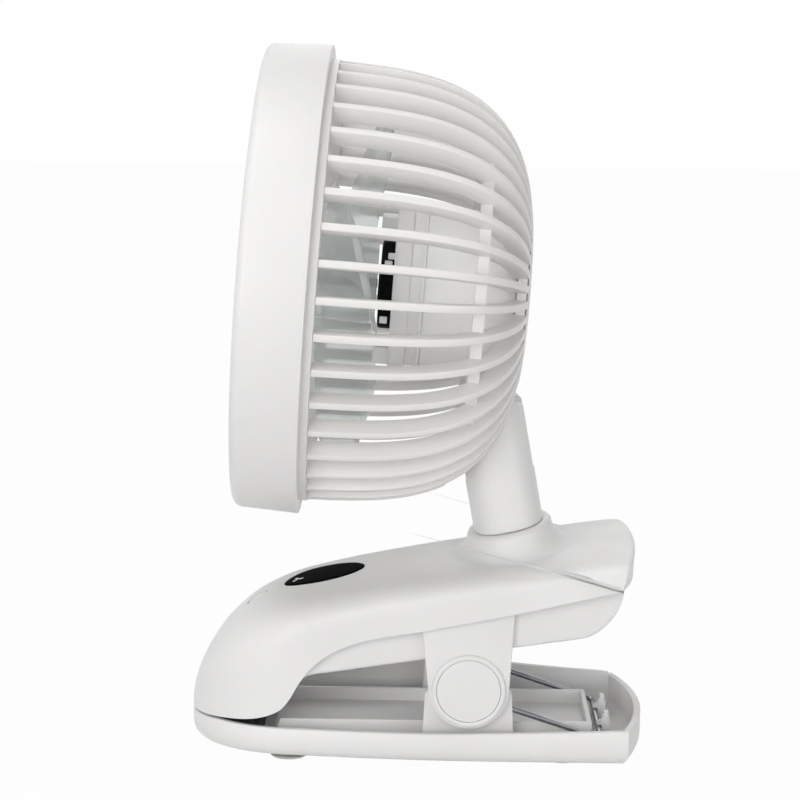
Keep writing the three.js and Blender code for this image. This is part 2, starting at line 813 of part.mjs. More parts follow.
// A hinge lug of the cover, with its raised round boss, on the side given by the sign
function hingeLug(side) {
  const headZ = 55;
  const front = tangentTurn(lugHeadFrontY, headZ, 1);
  const back = tangentTurn(lugHeadBackY, headZ, -1);
  const outline = [
    [lugHeadFrontY, headZ],
    ...arc(hingeY, hingeZ, lugRadius, front, 360 + back, 16),
    [lugHeadBackY, headZ],
  ];
  const innerX = lugOuterX - lugThickness;
  const place = (low, high) => (side > 0 ? [low, high] : [-high, -low]);
  const plate = solid(sideSlab(outline, ...place(innerX, lugOuterX)));
  const root = solid(sideSlab([
    [lugHeadFrontY + 3, bellyZ(0) + 3], [lugHeadBackY - 3, bellyZ(40) + 2],
    [lugHeadBackY - 3, headZ - 1], [lugHeadFrontY + 3, headZ - 6],
  ], ...place(bellyHalfWidth - coverWall + 0.2, innerX + 1)));
  const bossOuter = lugOuterX + bossProud;
  const boss = alongX(turned([
    [0, lugOuterX - 1], [bossRadius, lugOuterX - 1], [bossRadius, bossOuter - 0.4],
    [bossRadius - 0.4, bossOuter], [0, bossOuter],
  ], 24), 0, hingeY, hingeZ);
  if (side < 0) boss.rotateY(0).scale(-1, 1, 1);
  const recess = alongX(disc(hingeCapRadius + fitGap, bossOuter - hingeCapThickness - fitGap,
    bossOuter + 1, 24), 0, hingeY, hingeZ);
  if (side < 0) recess.scale(-1, 1, 1);
  return join(plate, root, solid(boss)).subtract(solid(recess));
}

function lowerCover() {
  const limit = housingForm(housingWall + fitGap);
  const hollowLimit = housingForm(housingWall + fitGap + coverWall);
  const width = bellyHalfWidth;
  const outer = solid(sideSlab(bellyOutline(0), -width, width)).intersect(limit);
  const inside = bellyOutline(coverWall);
  const lowCount = 14;
  const over = housingHeight + 8;
  const hollowOutline = [...inside.slice(0, lowCount), [housingEndY - 14, over],
    [noseY + 10, over]];
  const hollow = solid(sideSlab(hollowOutline, -width + coverWall, width - coverWall));
  const shell = outer.subtract(hollow.intersect(hollowLimit));
  const pinBore = alongX(disc(hingePinRadius + fitGap, -40, 40, smallSegments), 0, hingeY, hingeZ);
  const screwCuts = screwPlaces.map(({ x, y }) => {
    const floor = bellyZ(y);
    return join(
      solid(alongZ(disc(screwRadius + fitGap, floor - 4, floor + 6, 8), x, y, 0)),
      solid(alongZ(disc(screwHeadRadius + fitGap, floor - 4, floor + 0.5, 8), x, y, 0)),
    );
  });
  return cut(join(shell, hingeLug(1), hingeLug(-1)), solid(pinBore), ...screwCuts);
}

function coverScrew({ x, y }) {
  const floor = bellyZ(y);
  const seat = floor + 0.5 - fitGap;
  const profile = [
    [0, seat - screwHeadHeight], [screwHeadRadius, seat - screwHeadHeight],
    [screwHeadRadius, seat], [screwRadius, seat], [screwRadius, seat + 11], [0, seat + 11],
  ];
  return solid(turned(profile, 8).rotateX(Math.PI / 2).translate(x, y, 0));
}

function upperPad() {
  const top = soleZ - fitGap;
  return gripPad(top - padThickness * 0.6, top, housingWall + 1, -0.5);
}

function hingeCap(side) {
  const outer = lugOuterX + bossProud + 0.1;
  const inner = lugOuterX + bossProud - hingeCapThickness;
  const profile = [
    [0, inner], [hingeCapRadius, inner], [hingeCapRadius, outer - 0.3],
    [hingeCapRadius - 0.4, outer], [0, outer],
  ];
  const cap = alongX(turned(profile, 24), 0, hingeY, hingeZ);
  return solid(side > 0 ? cap : cap.scale(-1, 1, 1));
}

function hingePin() {
  const half = lugOuterX + bossProud - hingeCapThickness - fitGap - 0.1;
  return solid(alongX(disc(hingePinRadius, -half, half, smallSegments), 0, hingeY, hingeZ));
}

// A cell lies on the cover's sloping floor, and the board lies on both cells
function onBellySlope(geometry, y, lift) {
  const slope = degrees(cellSlope);
  const z = bellyZ(y) + (coverWall + fitGap + lift) / Math.cos(slope);
  return geometry.rotateX(slope).translate(0, y, z);
}

function batteryCell(x) {
  const half = cellLength / 2;
  const profile = [
    [0, -half - 0.8], [3, -half - 0.8], [3, -half], [cellRadius, -half],
    [cellRadius, half], [0, half],
  ];
  return solid(onBellySlope(turned(profile, 14).translate(x, 0, 0), cellY, cellRadius));
}

function mainBoard() {
  const lift = 2 * cellRadius + fitGap;
  const board = box(-boardWidth / 2, boardWidth / 2, -boardLength / 2, boardLength / 2,
    0, boardThickness);
  return solid(onBellySlope(board, cellY + 6, lift));
}

function buttonBoard() {
  const board = box(-6.5, 6.5, -6, 6, buttonBoardTop - 1.2, buttonBoardTop);
  return solid(onButtonSeat(board));
}

function usbSocket() {
  const face = housingEndY - 0.4;
  const shell = box(-socketWidth / 2, socketWidth / 2, face - socketDepth, face,
    socketZ - socketHeight / 2, socketZ + socketHeight / 2);
  const mouth = box(-socketWidth / 2 + 0.5, socketWidth / 2 - 0.5, face - 5.4, face + 1,
    socketZ - socketHeight / 2 + 0.5, socketZ + socketHeight / 2 - 0.5);
  const blade = box(-3.2, 3.2, face - 5.8, face - 0.8, socketZ - 0.35, socketZ + 0.35);
  return join(cut(solid(shell), solid(mouth)), solid(blade));
}

// ---- Neck: made along its own axis, standing on the collar ---------------------------------------

function neckColumn() {
  const column = neckRound([[0, 0], [neckHalfDepth, 0], [neckHalfDepth, neckTop], [0, neckTop]],
    neckWiden);
  const corner = 1.6;
  const side = neckHalfDepth + 1;
  const topEdge = sideSlab([
    [-side, -1], [side, -1], [side, neckTop - corner - 1], [neckHalfDepth - corner, neckTop],
    ...arc(0, tiltPivotHeight, neckTop - tiltPivotHeight, 90, 170, 7), [-side, tiltPivotHeight],
  ], -neckHalfWidth - 1, neckHalfWidth + 1);
  const clevis = box(-clevisHalfWidth, clevisHalfWidth, -side, side,
    tiltPivotHeight - clevisDepth, neckTop + 1);
  const spigot = disc(spigotRadius, -spigotLength, 1, 20).rotateX(Math.PI / 2);
  const wireway = disc(retainerBore, -spigotLength - 1, 8, 12).rotateX(Math.PI / 2);
  const pinBore = alongX(disc(tiltPinRadius + fitGap, -30, 30, smallSegments),
    0, 0, tiltPivotHeight);
  const screwBores = [-1, 1].map((side2) => solid(disc(screwRadius + fitGap,
    -spigotLength - 1, -spigotLength + 7, 8).rotateX(Math.PI / 2)
    .translate(side2 * retainerScrewX, 0, 0)));
  return cut(join(solid(column).intersect(solid(topEdge)), solid(spigot)),
    solid(clevis), solid(wireway), solid(pinBore), ...screwBores);
}

const retainerTop = -spigotLength - fitGap;

function swivelRetainer() {
  const ring = tube(retainerBore, retainerRadius, retainerTop - retainerThickness, retainerTop, 16)
    .rotateX(Math.PI / 2);
  const holes = [-1, 1].map((side) => solid(disc(screwRadius + fitGap, -30, 0, 8)
    .rotateX(Math.PI / 2).translate(side * retainerScrewX, 0, 0)));
  return cut(solid(ring), ...holes);
}

function retainerScrew(side) {
  const seat = retainerTop - retainerThickness - fitGap;
  const profile = [
    [0, seat - screwHeadHeight], [2.1, seat - screwHeadHeight], [2.1, seat],
    [screwRadius, seat], [screwRadius, seat + 9], [0, seat + 9],
  ];
  return solid(turned(profile, 8).rotateX(Math.PI / 2).translate(side * retainerScrewX, 0, 0));
}

function tiltPin() {
  const half = neckHalfWidth - 0.5;
  return solid(alongX(disc(tiltPinRadius, -half, half, smallSegments), 0, 0, 0));
}

// ---- Head: made about its own axis, which lies along Y here --------------------------------------

function frontRing() {
  const inner = ringRadius - ringWall;
  const corner = arc(ringRadius - ringFillet, -ringDepth + ringFillet, ringFillet, 0, -90, 3);
  return solid(turned([
    [ringRadius, 0], ...corner, [ringRadius - ringLip, -ringDepth],
    [ringRadius - ringLip, -ringDepth + ringLipThickness],
    [inner, -ringDepth + ringLipThickness], [inner, -ringWebThickness],
    [ringWebInner, -ringWebThickness], [ringWebInner, 0], [ringRadius, 0],
  ], 44));
}

const grilleFront = -ringDepth + ringLipThickness + fitGap;

function grilleBar(k) {
  const sections = [];
  const stations = 3;
  const half = grilleBarWidth / 2;
  for (let s = 0; s < stations; s += 1) {
    const part = s / (stations - 1);
    const r = grilleHubRadius - 2 + (grilleRadius - 1.5 - grilleHubRadius + 2) * part;
    const turn = degrees((360 * k) / grilleBars + grilleSwirl * (r / grilleRadius) ** 1.5);
    const lift = -grilleDome * (1 - (r / grilleRadius) ** 2);
    const front = grilleFront + lift + 0.2;
    const corner = (side, y) => new THREE.Vector3(
      r * Math.cos(turn) - side * half * Math.sin(turn),
      y,
      r * Math.sin(turn) + side * half * Math.cos(turn),
    );
    const back = front + grilleThickness - 0.5;
    sections.push([corner(-1, front), corner(1, front), corner(1, back), corner(-1, back)]);
  }
  return solid(loft(sections));
}

function frontGrille() {
  const liftAt = (r) => -grilleDome * (1 - (r / grilleRadius) ** 2);
  const rim = tube(grilleRadius - 3.3, grilleRadius, grilleFront, grilleFront + grilleThickness + 1,
    2 * grilleBars);
  const hoops = grilleHoopRadii.map((r) => solid(tube(r - 0.9, r + 0.9,
    grilleFront + liftAt(r), grilleFront + liftAt(r) + grilleThickness - 0.5, grilleBars)));
  const hubTop = grilleFront - grilleDome;
  const hub = turned([
    [0, hubTop - 0.5], [grilleHubRadius - 3, hubTop - 0.2], [grilleHubRadius, hubTop + 0.7],
    [grilleHubRadius, hubTop + grilleThickness], [0, hubTop + grilleThickness],
  ], grilleBars);
  const bars = Array.from({ length: grilleBars }, (_, k) => grilleBar(k));
  return join(solid(rim), ...hoops, solid(hub), ...bars);
}

// A point of the cage's outline, from the front edge at 0 to its middle axis at 1
function cagePoint(part, inset) {
  const power = 2 / cageCurve;
  const place = (p) => {
    const turn = p * (Math.PI / 2);
    return new THREE.Vector2(cageRadius * Math.cos(turn) ** power,
      cageDepth * Math.sin(turn) ** power);
  };
  const here = place(part);
  const step = 1e-3;
  const along = place(Math.min(part + step, 1)).sub(place(Math.max(part - step, 0))).normalize();
  return [here.x - inset * along.y, here.y + inset * along.x];
}

const ribStart = 0.004;
const ribEnd = 0.845;
const wallStart = 0.34;
const ribProud = 0.35;

function cageRib(k) {
  const turn = degrees((360 * k) / ribCount + ribTurn);
  const half = ribWidth / 2;
  const stations = 6;
  const sections = [];
  for (let s = 0; s < stations; s += 1) {
    const part = ribStart + (ribEnd - ribStart) * (s / (stations - 1));
    const [outR, outY] = cagePoint(part, 0);
    const [inR, inY] = cagePoint(part, ribDepth);
    const corner = (r, y, side) => new THREE.Vector3(
      r * Math.cos(turn) - side * half * Math.sin(turn),
      Math.max(y, fitGap),
      r * Math.sin(turn) + side * half * Math.cos(turn),
    );
    sections.push([
      corner(outR, outY, -1), corner(outR, outY, 1), corner(inR, inY, 1), corner(inR, inY, -1),
    ]);
  }
  return solid(loft(sections));
}

// The cage's wall as an unbroken bowl, which frames the neck's slot
function cageWall(depth, segments) {
  const outer = [];
  const inner = [];
  const stations = 4;
  for (let s = 0; s <= stations; s += 1) {
    const part = wallStart + (ribEnd - 0.004 - wallStart) * (s / stations);
    const [outR, outY] = cagePoint(part, ribProud);
    const [inR, inY] = cagePoint(part, depth);
    outer.push([outR, Math.max(outY, fitGap)]);
    inner.push([inR, Math.max(inY, fitGap)]);
  }
  const profile = [...outer, ...inner.reverse()];
  return solid(turned([...profile, profile[0]], segments).rotateY(degrees(-ribTurn)));
}

const slotHalfWidth = neckHalfWidth + fitGap + 0.1;

function rearCage() {
  const ribs = Array.from({ length: ribCount }, (_, k) => cageRib(k));
  const frontHoop = tube(cageRadius - ribDepth - 0.2, cageRadius + 0.2, fitGap,
    fitGap + cageHoopDepth, ribCount).rotateY(degrees(-ribTurn));
  const hoopPart = (2 / Math.PI) * Math.asin((innerHoopBack / cageDepth) ** (cageCurve / 2));
  const [hoopR] = cagePoint(hoopPart, ribDepth - 0.4);
  const innerHoop = tube(hoopR - innerHoopThickness, hoopR, innerHoopBack - innerHoopWidth,
    innerHoopBack, ribCount).rotateY(degrees(-ribTurn));
  const endRing = tube(endRingInner, endRingOuter, endRingFront, endRingFront + endRingThickness,
    ribCount).rotateY(degrees(-ribTurn));
  const frame = cageWall(ribDepth - 1, ribCount).intersect(solid(box(-slotHalfWidth - slotWall,
    slotHalfWidth + slotWall, slotFront - slotWall, cageDepth, -cageRadius, -endRingInner)));
  const slot = box(-slotHalfWidth, slotHalfWidth, slotFront, cageDepth + 5, -cageRadius - 5,
    -endRingInner - 1);
  const capSeat = disc(endRingOuter + 0.1, endRingFront + endRingThickness, cageDepth + 5, ribCount)
    .rotateY(degrees(-ribTurn));
  const drumSpace = disc(endRingOuter + fitGap, drumSeam, endRingFront, ribCount)
    .rotateY(degrees(-ribTurn));
  return cut(join(solid(frontHoop), ...ribs, solid(innerHoop), frame), solid(slot),
    solid(drumSpace)).add(solid(endRing)).subtract(solid(capSeat));
}

const rearCapFront = endRingFront + endRingThickness + fitGap;

function rearCap() {
  const spigot = endRingInner - fitGap;
  const back = rearCapFront + rearCapThickness;
  return solid(turned([
    [0, endRingFront - fitGap], [spigot, endRingFront - fitGap], [spigot, rearCapFront],
    [endRingOuter - 0.3, rearCapFront], [endRingOuter - 0.3, rearCapFront + 0.4],
    [endRingOuter - 1.3, back - 0.4], [endRingOuter - 5, back], [0, back + 0.2],
  ], 24));
}

function motorHousing() {
  const inner = drumRadius - drumWall;
  const frontWall = 2.4;
  const bore = motorRadius + fitGap;
  return solid(turned([
    [bore, drumFront], [drumRadius - 0.8, drumFront], [drumRadius, drumFront + 0.8],
    [drumRadius, bandFront], [drumRadius - bandDepth, bandFront + 0.3],
    [drumRadius - bandDepth, bandBack - 0.3], [drumRadius, bandBack], [drumRadius, drumSeam],
    [inner - 1.2, drumSeam], [inner - 1.2, drumFront + frontWall],
    [bore, drumFront + frontWall], [bore, drumFront],
  ], 24));
}

const rearHousingBack = endRingFront - 2 * fitGap;

function rearHousing() {
  const inner = drumRadius - drumWall;
  const cup = turned([
    [drumRadius, drumSeam + fitGap], [drumRadius, rearHousingBack], [0, rearHousingBack],
    [0, rearHousingBack - drumWall], [inner, rearHousingBack - drumWall],
    [inner, drumSeam + fitGap], [drumRadius, drumSeam + fitGap],
  ], 24);
  const seatInner = turned([
    [motorRadius + fitGap, drumSeam + 2], [motorRadius + 2.3, drumSeam + 2],
    [motorRadius + 2.3, rearHousingBack - 1], [motorRadius + fitGap, rearHousingBack - 1],
    [motorRadius + fitGap, drumSeam + 2],
  ], 20);
  const root = -drumRadius + 3;
  const tongue = sideSlab([
    [tongueFront, root], ...arc(pivotBack, -pivotDrop, tongueRadius, 190, 358, 10),
    [rearHousingBack, -pivotDrop + tongueRadius + 3], [rearHousingBack, root],
  ], -tongueHalfWidth, tongueHalfWidth);
  const hollow = disc(inner, drumSeam, rearHousingBack - drumWall, 24);
  const pinBore = alongX(disc(tiltPinRadius + fitGap, -20, 20, smallSegments),
    0, pivotBack, -pivotDrop);
  const tongueSolid = cut(solid(tongue), solid(hollow), solid(pinBore));
  return join(solid(cup), solid(seatInner), tongueSolid);
}

function motorCan() {
  return solid(turned([
    [0, motorFront], [motorRadius - 1, motorFront], [motorRadius, motorFront + 1],
    [motorRadius, motorBack], [0, motorBack],
  ], 20));
}

function motorShaft() {
  return solid(disc(shaftRadius, shaftFront, motorFront - fitGap, smallSegments));
}

// One blade: thin sections across it, from inside the hub out to its round tip
function blade(k) {
  const sections = [];
  const stations = 6;
  const chordSteps = 4;
  const root = hubRadius - hubWall * 0.6;
  for (let s = 0; s < stations; s += 1) {
    const part = s / (stations - 1);
    const r = root + (bladeRadius - root) * Math.sin(part * (Math.PI / 2));
    const outward = (r - root) / (bladeRadius - root);
    const round = Math.sqrt(1 - Math.max(0, (outward - 0.62) / 0.38) ** 2.4 * 0.93);
    const spread = degrees(bladeSpan / 2) * (0.92 + 0.08 * outward) * round;
    const middle = degrees(bladeTurn + (360 * k) / bladeCount) - degrees(5) * (1 - round);
    const rise = (bladeRise / 2) * round;
    const centre = 9.5 + bladeRake * outward;
    const point = (across, side) => {
      const bend = 1.6 * (1 - across ** 2) * (0.4 + outward);
      const thick = side * (bladeThickness / 2) * (1 - 0.5 * outward) * (1 - 0.7 * across ** 4);
      const turn = middle + across * spread;
      return new THREE.Vector3(
        r * Math.cos(turn),
        centre - across * rise + bend + thick,
        r * Math.sin(turn),
      );
    };
    const section = [];
    for (let c = 0; c <= chordSteps; c += 1) section.push(point((2 * c) / chordSteps - 1, 1));
    for (let c = chordSteps; c >= 0; c -= 1) section.push(point((2 * c) / chordSteps - 1, -1));
    sections.push(section);
  }
  return solid(loft(sections));
}

function impeller() {
  const back = motorFront - runGap;
  const hub = turned([
    [0, hubFront], [7, hubFront + 1], [11.8, hubFront + 4.6],
    [hubRadius, hubFront + 10], [hubRadius, back], [hubRadius - hubWall, back],
    [hubRadius - hubWall, hubFront + 9], [hubCore, hubFront + 7],
    [hubCore, back], [shaftRadius + fitGap, back],
    [shaftRadius + fitGap, shaftFront - fitGap], [0, shaftFront - fitGap],
  ], 24);
  const blades = Array.from({ length: bladeCount }, (_, k) => blade(k));
  return join(solid(hub), ...blades);
}

// ---- Materials and the assembly -------------------------------------------------------------------

const finish = (color, roughness, metalness = 0) =>
  new THREE.MeshStandardMaterial({ color, roughness, metalness });

const finishes = {
  shell: () => finish(0xe9e7e4, 0.55),
  smoke: () => finish(0xc4cbd0, 0.3),
  gloss: () => finish(0x0b0b0d, 0.08),
  rubber: () => finish(0x2b2b2c, 0.85),
  footRubber: () => finish(0xdedcd8, 0.8),
  steel: () => finish(0xb9bcc0, 0.3, 1),
  dark: () => finish(0x1b1c1e, 0.5),
  cell: () => finish(0x3f6f8f, 0.4),
  board: () => finish(0x1f5a3a, 0.5),
};

function named(name, manifold, material) {
  const mesh = new THREE.Mesh(geometryOf(manifold), material);
  mesh.name = name;
  return mesh;
}

const fan = new THREE.Group();
const clipBase = new THREE.Group();
const neck = new THREE.Group();
const tilt = new THREE.Group();
const head = new THREE.Group();

fan.add(clipBase);
clipBase.add(neck);
neck.position.set(0, neckY, neckZ);
neck.rotation.x = lean;
neck.add(tilt);
tilt.position.set(0, 0, tiltPivotHeight);
tilt.rotation.x = -lean - degrees(headTilt);
tilt.add(head);
head.position.set(0, -pivotBack, pivotDrop);

fan.add(named('lower_jaw', lowerJaw(), finishes.shell()));
fan.add(named('lower_jaw_pad',
  gripPad(padPlatformHeight + fitGap, padPlatformHeight + fitGap + padThickness,
    trayWall + fitGap, 0.6), finishes.rubber()));
fan.add(named('foot_front_right', foot(footX, frontFootY), finishes.footRubber()));
fan.add(named('foot_front_left', foot(-footX, frontFootY), finishes.footRubber()));
fan.add(named('foot_back_right', foot(footX, backFootY), finishes.footRubber()));
fan.add(named('foot_back_left', foot(-footX, backFootY), finishes.footRubber()));
fan.add(named('hinge_pin', hingePin(), finishes.steel()));
fan.add(named('clip_spring', clipSpring(), finishes.steel()));

clipBase.add(named('upper_housing', upperHousing(), finishes.shell()));
clipBase.add(named('lower_cover', lowerCover(), finishes.shell()));
clipBase.add(named('upper_jaw_pad', upperPad(), finishes.rubber()));
clipBase.add(named('hinge_cap_right', hingeCap(1), finishes.shell()));
clipBase.add(named('hinge_cap_left', hingeCap(-1), finishes.shell()));
clipBase.add(named('display_lens', displayLens(), finishes.gloss()));
clipBase.add(named('power_button', powerButton(), finishes.shell()));
clipBase.add(named('button_board', buttonBoard(), finishes.board()));
clipBase.add(named('battery_cell_right', batteryCell(cellRadius + fitGap), finishes.cell()));
clipBase.add(named('battery_cell_left', batteryCell(-cellRadius - fitGap), finishes.cell()));
clipBase.add(named('main_board', mainBoard(), finishes.board()));
clipBase.add(named('usb_socket', usbSocket(), finishes.steel()));
screwPlaces.forEach((place, k) => {
  clipBase.add(named(`cover_screw_${k + 1}`, coverScrew(place), finishes.steel()));
});

neck.add(named('neck_column', neckColumn(), finishes.shell()));
neck.add(named('swivel_retainer', swivelRetainer(), finishes.dark()));
neck.add(named('retainer_screw_1', retainerScrew(1), finishes.steel()));
neck.add(named('retainer_screw_2', retainerScrew(-1), finishes.steel()));

tilt.add(named('tilt_pin', tiltPin(), finishes.steel()));
head.add(named('front_ring', frontRing(), finishes.shell()));
head.add(named('front_grille', frontGrille(), finishes.shell()));
head.add(named('rear_cage', rearCage(), finishes.shell()));
head.add(named('rear_cap', rearCap(), finishes.shell()));
head.add(named('motor_housing', motorHousing(), finishes.shell()));
head.add(named('rear_housing', rearHousing(), finishes.shell()));
head.add(named('motor', motorCan(), finishes.dark()));
head.add(named('motor_shaft', motorShaft(), finishes.steel()));
head.add(named('impeller', impeller(), finishes.smoke()));

export default fan;
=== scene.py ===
# The looks of the clip fan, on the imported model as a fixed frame. Shapes are worked out in
# millimetres, in the base's frame, along the neck, or about the head's axis, and are put in
# place in metres at the end of each piece.
import math

import bmesh
import bpy
from mathutils import Matrix, Vector


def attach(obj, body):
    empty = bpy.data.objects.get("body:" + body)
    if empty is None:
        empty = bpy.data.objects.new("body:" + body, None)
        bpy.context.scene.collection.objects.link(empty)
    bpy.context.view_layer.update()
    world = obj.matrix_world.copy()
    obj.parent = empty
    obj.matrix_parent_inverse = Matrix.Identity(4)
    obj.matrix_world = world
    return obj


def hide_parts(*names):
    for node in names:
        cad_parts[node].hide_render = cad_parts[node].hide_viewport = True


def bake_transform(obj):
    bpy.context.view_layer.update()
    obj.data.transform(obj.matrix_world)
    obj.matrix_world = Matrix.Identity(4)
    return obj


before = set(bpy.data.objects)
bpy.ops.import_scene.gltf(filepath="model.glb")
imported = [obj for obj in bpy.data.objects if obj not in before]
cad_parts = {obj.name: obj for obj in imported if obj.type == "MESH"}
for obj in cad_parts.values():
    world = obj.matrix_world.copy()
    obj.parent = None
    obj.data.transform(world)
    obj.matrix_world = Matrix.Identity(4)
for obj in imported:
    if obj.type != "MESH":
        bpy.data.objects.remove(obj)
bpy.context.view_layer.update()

# ---- Where things are ---------------------------------------------------------------------

LEAN = math.radians(12.66)
TILT = math.radians(3.84)
NECK_FOOT = Vector((0, 32.3, 80.2))
PIVOT = NECK_FOOT + Matrix.Rotation(LEAN, 3, "X") @ Vector((0, 0, 30))
BASE = Matrix.Scale(0.001, 4)
NECK = BASE @ Matrix.Translation(NECK_FOOT) @ Matrix.Rotation(LEAN, 4, "X")
HEAD = (BASE @ Matrix.Translation(PIVOT) @ Matrix.Rotation(-TILT, 4, "X")
        @ Matrix.Translation((0, -65.9, 51.4)))
SHROUD = HEAD @ Matrix.Translation((0, 0, -0.6))
TO_SIDE = Matrix.Rotation(-math.pi / 2, 4, "Z")
UPRIGHT = Matrix.Rotation(math.pi / 2, 4, "X")
SMOOTH_UNDER = math.radians(38)

# ---- Working with shapes ------------------------------------------------------------------


def through(points, at):
    """The height of a smooth line through a few points."""
    last = len(points) - 1
    k = 0
    while k < last - 1 and at > points[k + 1][0]:
        k += 1
    (x0, y0), (x1, y1) = points[k], points[k + 1]
    before = points[max(k - 1, 0)]
    after = points[min(k + 2, last)]
    t = min(max((at - x0) / (x1 - x0), 0), 1)
    slope_in = (y1 - before[1]) / (x1 - before[0]) * (x1 - x0)
    slope_out = (after[1] - y0) / (after[0] - x0) * (x1 - x0)
    rise = (2 * t ** 3 - 3 * t ** 2 + 1) * y0 + (3 * t ** 2 - 2 * t ** 3) * y1
    return rise + (t ** 3 - 2 * t ** 2 + t) * slope_in + (t ** 3 - t ** 2) * slope_out


def arc(y, z, radius, start, end, steps):
    turns = [math.radians(start + (end - start) * k / steps) for k in range(steps + 1)]
    return [(y + radius * math.cos(turn), z + radius * math.sin(turn)) for turn in turns]


def turned(profile, steps=144, closed=False):
    """A round form about Y from (radius, distance along Y) pairs."""
    bm = bmesh.new()
    verts = [bm.verts.new((r, y, 0)) for r, y in profile]
    edges = [bm.edges.new(pair) for pair in zip(verts, verts[1:])]
    if closed:
        edges.append(bm.edges.new((verts[-1], verts[0])))
    bmesh.ops.spin(bm, geom=verts + edges, cent=(0, 0, 0), axis=(0, 1, 0),
                   angle=2 * math.pi, steps=steps, use_merge=True)
    tidy(bm)
    return bm


def skin(bm, across, along, place):
    """A grid whose corners go where place says, from 0 to 1 each way."""
    grid = bmesh.ops.create_grid(bm, x_segments=across, y_segments=along, size=1)["verts"]
    for corner in grid:
        corner.co = place((corner.co.x + 1) / 2, (corner.co.y + 1) / 2)
    return bm


def plate(outline, low, high):
    """An outline in Y and Z, drawn out along X."""
    bm = bmesh.new()
    face = bm.faces.new([bm.verts.new((low, y, z)) for y, z in outline])
    grown = bmesh.ops.extrude_face_region(bm, geom=[face])["geom"]
    moved = [part for part in grown if isinstance(part, bmesh.types.BMVert)]
    bmesh.ops.translate(bm, vec=(high - low, 0, 0), verts=moved)
    tidy(bm)
    return bm


def tidy(bm):
    bmesh.ops.remove_doubles(bm, verts=bm.verts, dist=1e-4)
    bmesh.ops.recalc_face_normals(bm, faces=bm.faces)


def close(bm):
    """Fills every open rim."""
    rim = [edge for edge in bm.edges if edge.is_boundary]
    bmesh.ops.holes_fill(bm, edges=rim, sides=0)
    bmesh.ops.recalc_face_normals(bm, faces=bm.faces)


def soften(bm, width, over=35):
    """Rounds every edge that is sharper than an angle."""
    bm.normal_update()
    sharp = [edge for edge in bm.edges
             if len(edge.link_faces) == 2 and edge.calc_face_angle(0) > math.radians(over)]
    bmesh.ops.bevel(bm, geom=sharp, offset=width, segments=3, profile=0.5,
                    affect="EDGES", material=-1, clamp_overlap=True)
    return bm


def put(bm, matrix):
    bmesh.ops.transform(bm, matrix=matrix, verts=bm.verts)
    return bm


def mirrored(bm):
    """Adds the same shape on the other side of X."""
    bmesh.ops.mirror(bm, geom=bm.verts[:] + bm.edges[:] + bm.faces[:], axis="X", merge_dist=1e-5)
    bmesh.ops.recalc_face_normals(bm, faces=bm.faces)
    return bm


def gather(first, *others):
    """Joins shapes into the first one."""
    for other in others:
        mesh = bpy.data.meshes.new("part")
        other.to_mesh(mesh)
        other.free()
        first.from_mesh(mesh)
        bpy.data.meshes.remove(mesh)
    return first


def carve(bm, *cutters):
    """What is left of a solid outside some others."""
    things = []
    for shape in (bm, *cutters):
        mesh = bpy.data.meshes.new("work")
        shape.to_mesh(mesh)
        shape.free()
        things.append(bpy.data.objects.new("work", mesh))
        bpy.context.scene.collection.objects.link(things[-1])
    for cutter in things[1:]:
        cut = things[0].modifiers.new("cut", "BOOLEAN")
        cut.operation = "DIFFERENCE"
        cut.solver = "EXACT"
        cut.object = cutter
    done = things[0].evaluated_get(bpy.context.evaluated_depsgraph_get()).to_mesh()
    left = bmesh.new()
    left.from_mesh(done)
    for thing in things:
        mesh = thing.data
        bpy.data.objects.remove(thing)
        bpy.data.meshes.remove(mesh)
    return left


def piece(name, bm, place, finish, body, *nodes):
    """Puts a finished shape in the scene, riding on its body and standing for its nodes."""
    put(bm, place)
    bm.normal_update()
    for face in bm.faces:
        face.smooth = True
    for edge in bm.edges:
        edge.smooth = edge.calc_face_angle(0) < SMOOTH_UNDER
    mesh = bpy.data.meshes.new(name)
    bm.to_mesh(mesh)
    bm.free()
    thing = bpy.data.objects.new(name, mesh)
    bpy.context.scene.collection.objects.link(thing)
    mesh.materials.append(finish)
    if body:
        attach(thing, body)
    if nodes:
        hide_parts(*nodes)
    return thing


# ---- Finishes -----------------------------------------------------------------------------


def linear(colour):
    parts = [int(colour[k:k + 2], 16) / 255 for k in (1, 3, 5)]
    return [p / 12.92 if p < 0.04045 else ((p + 0.055) / 1.055) ** 2.4 for p in parts] + [1]


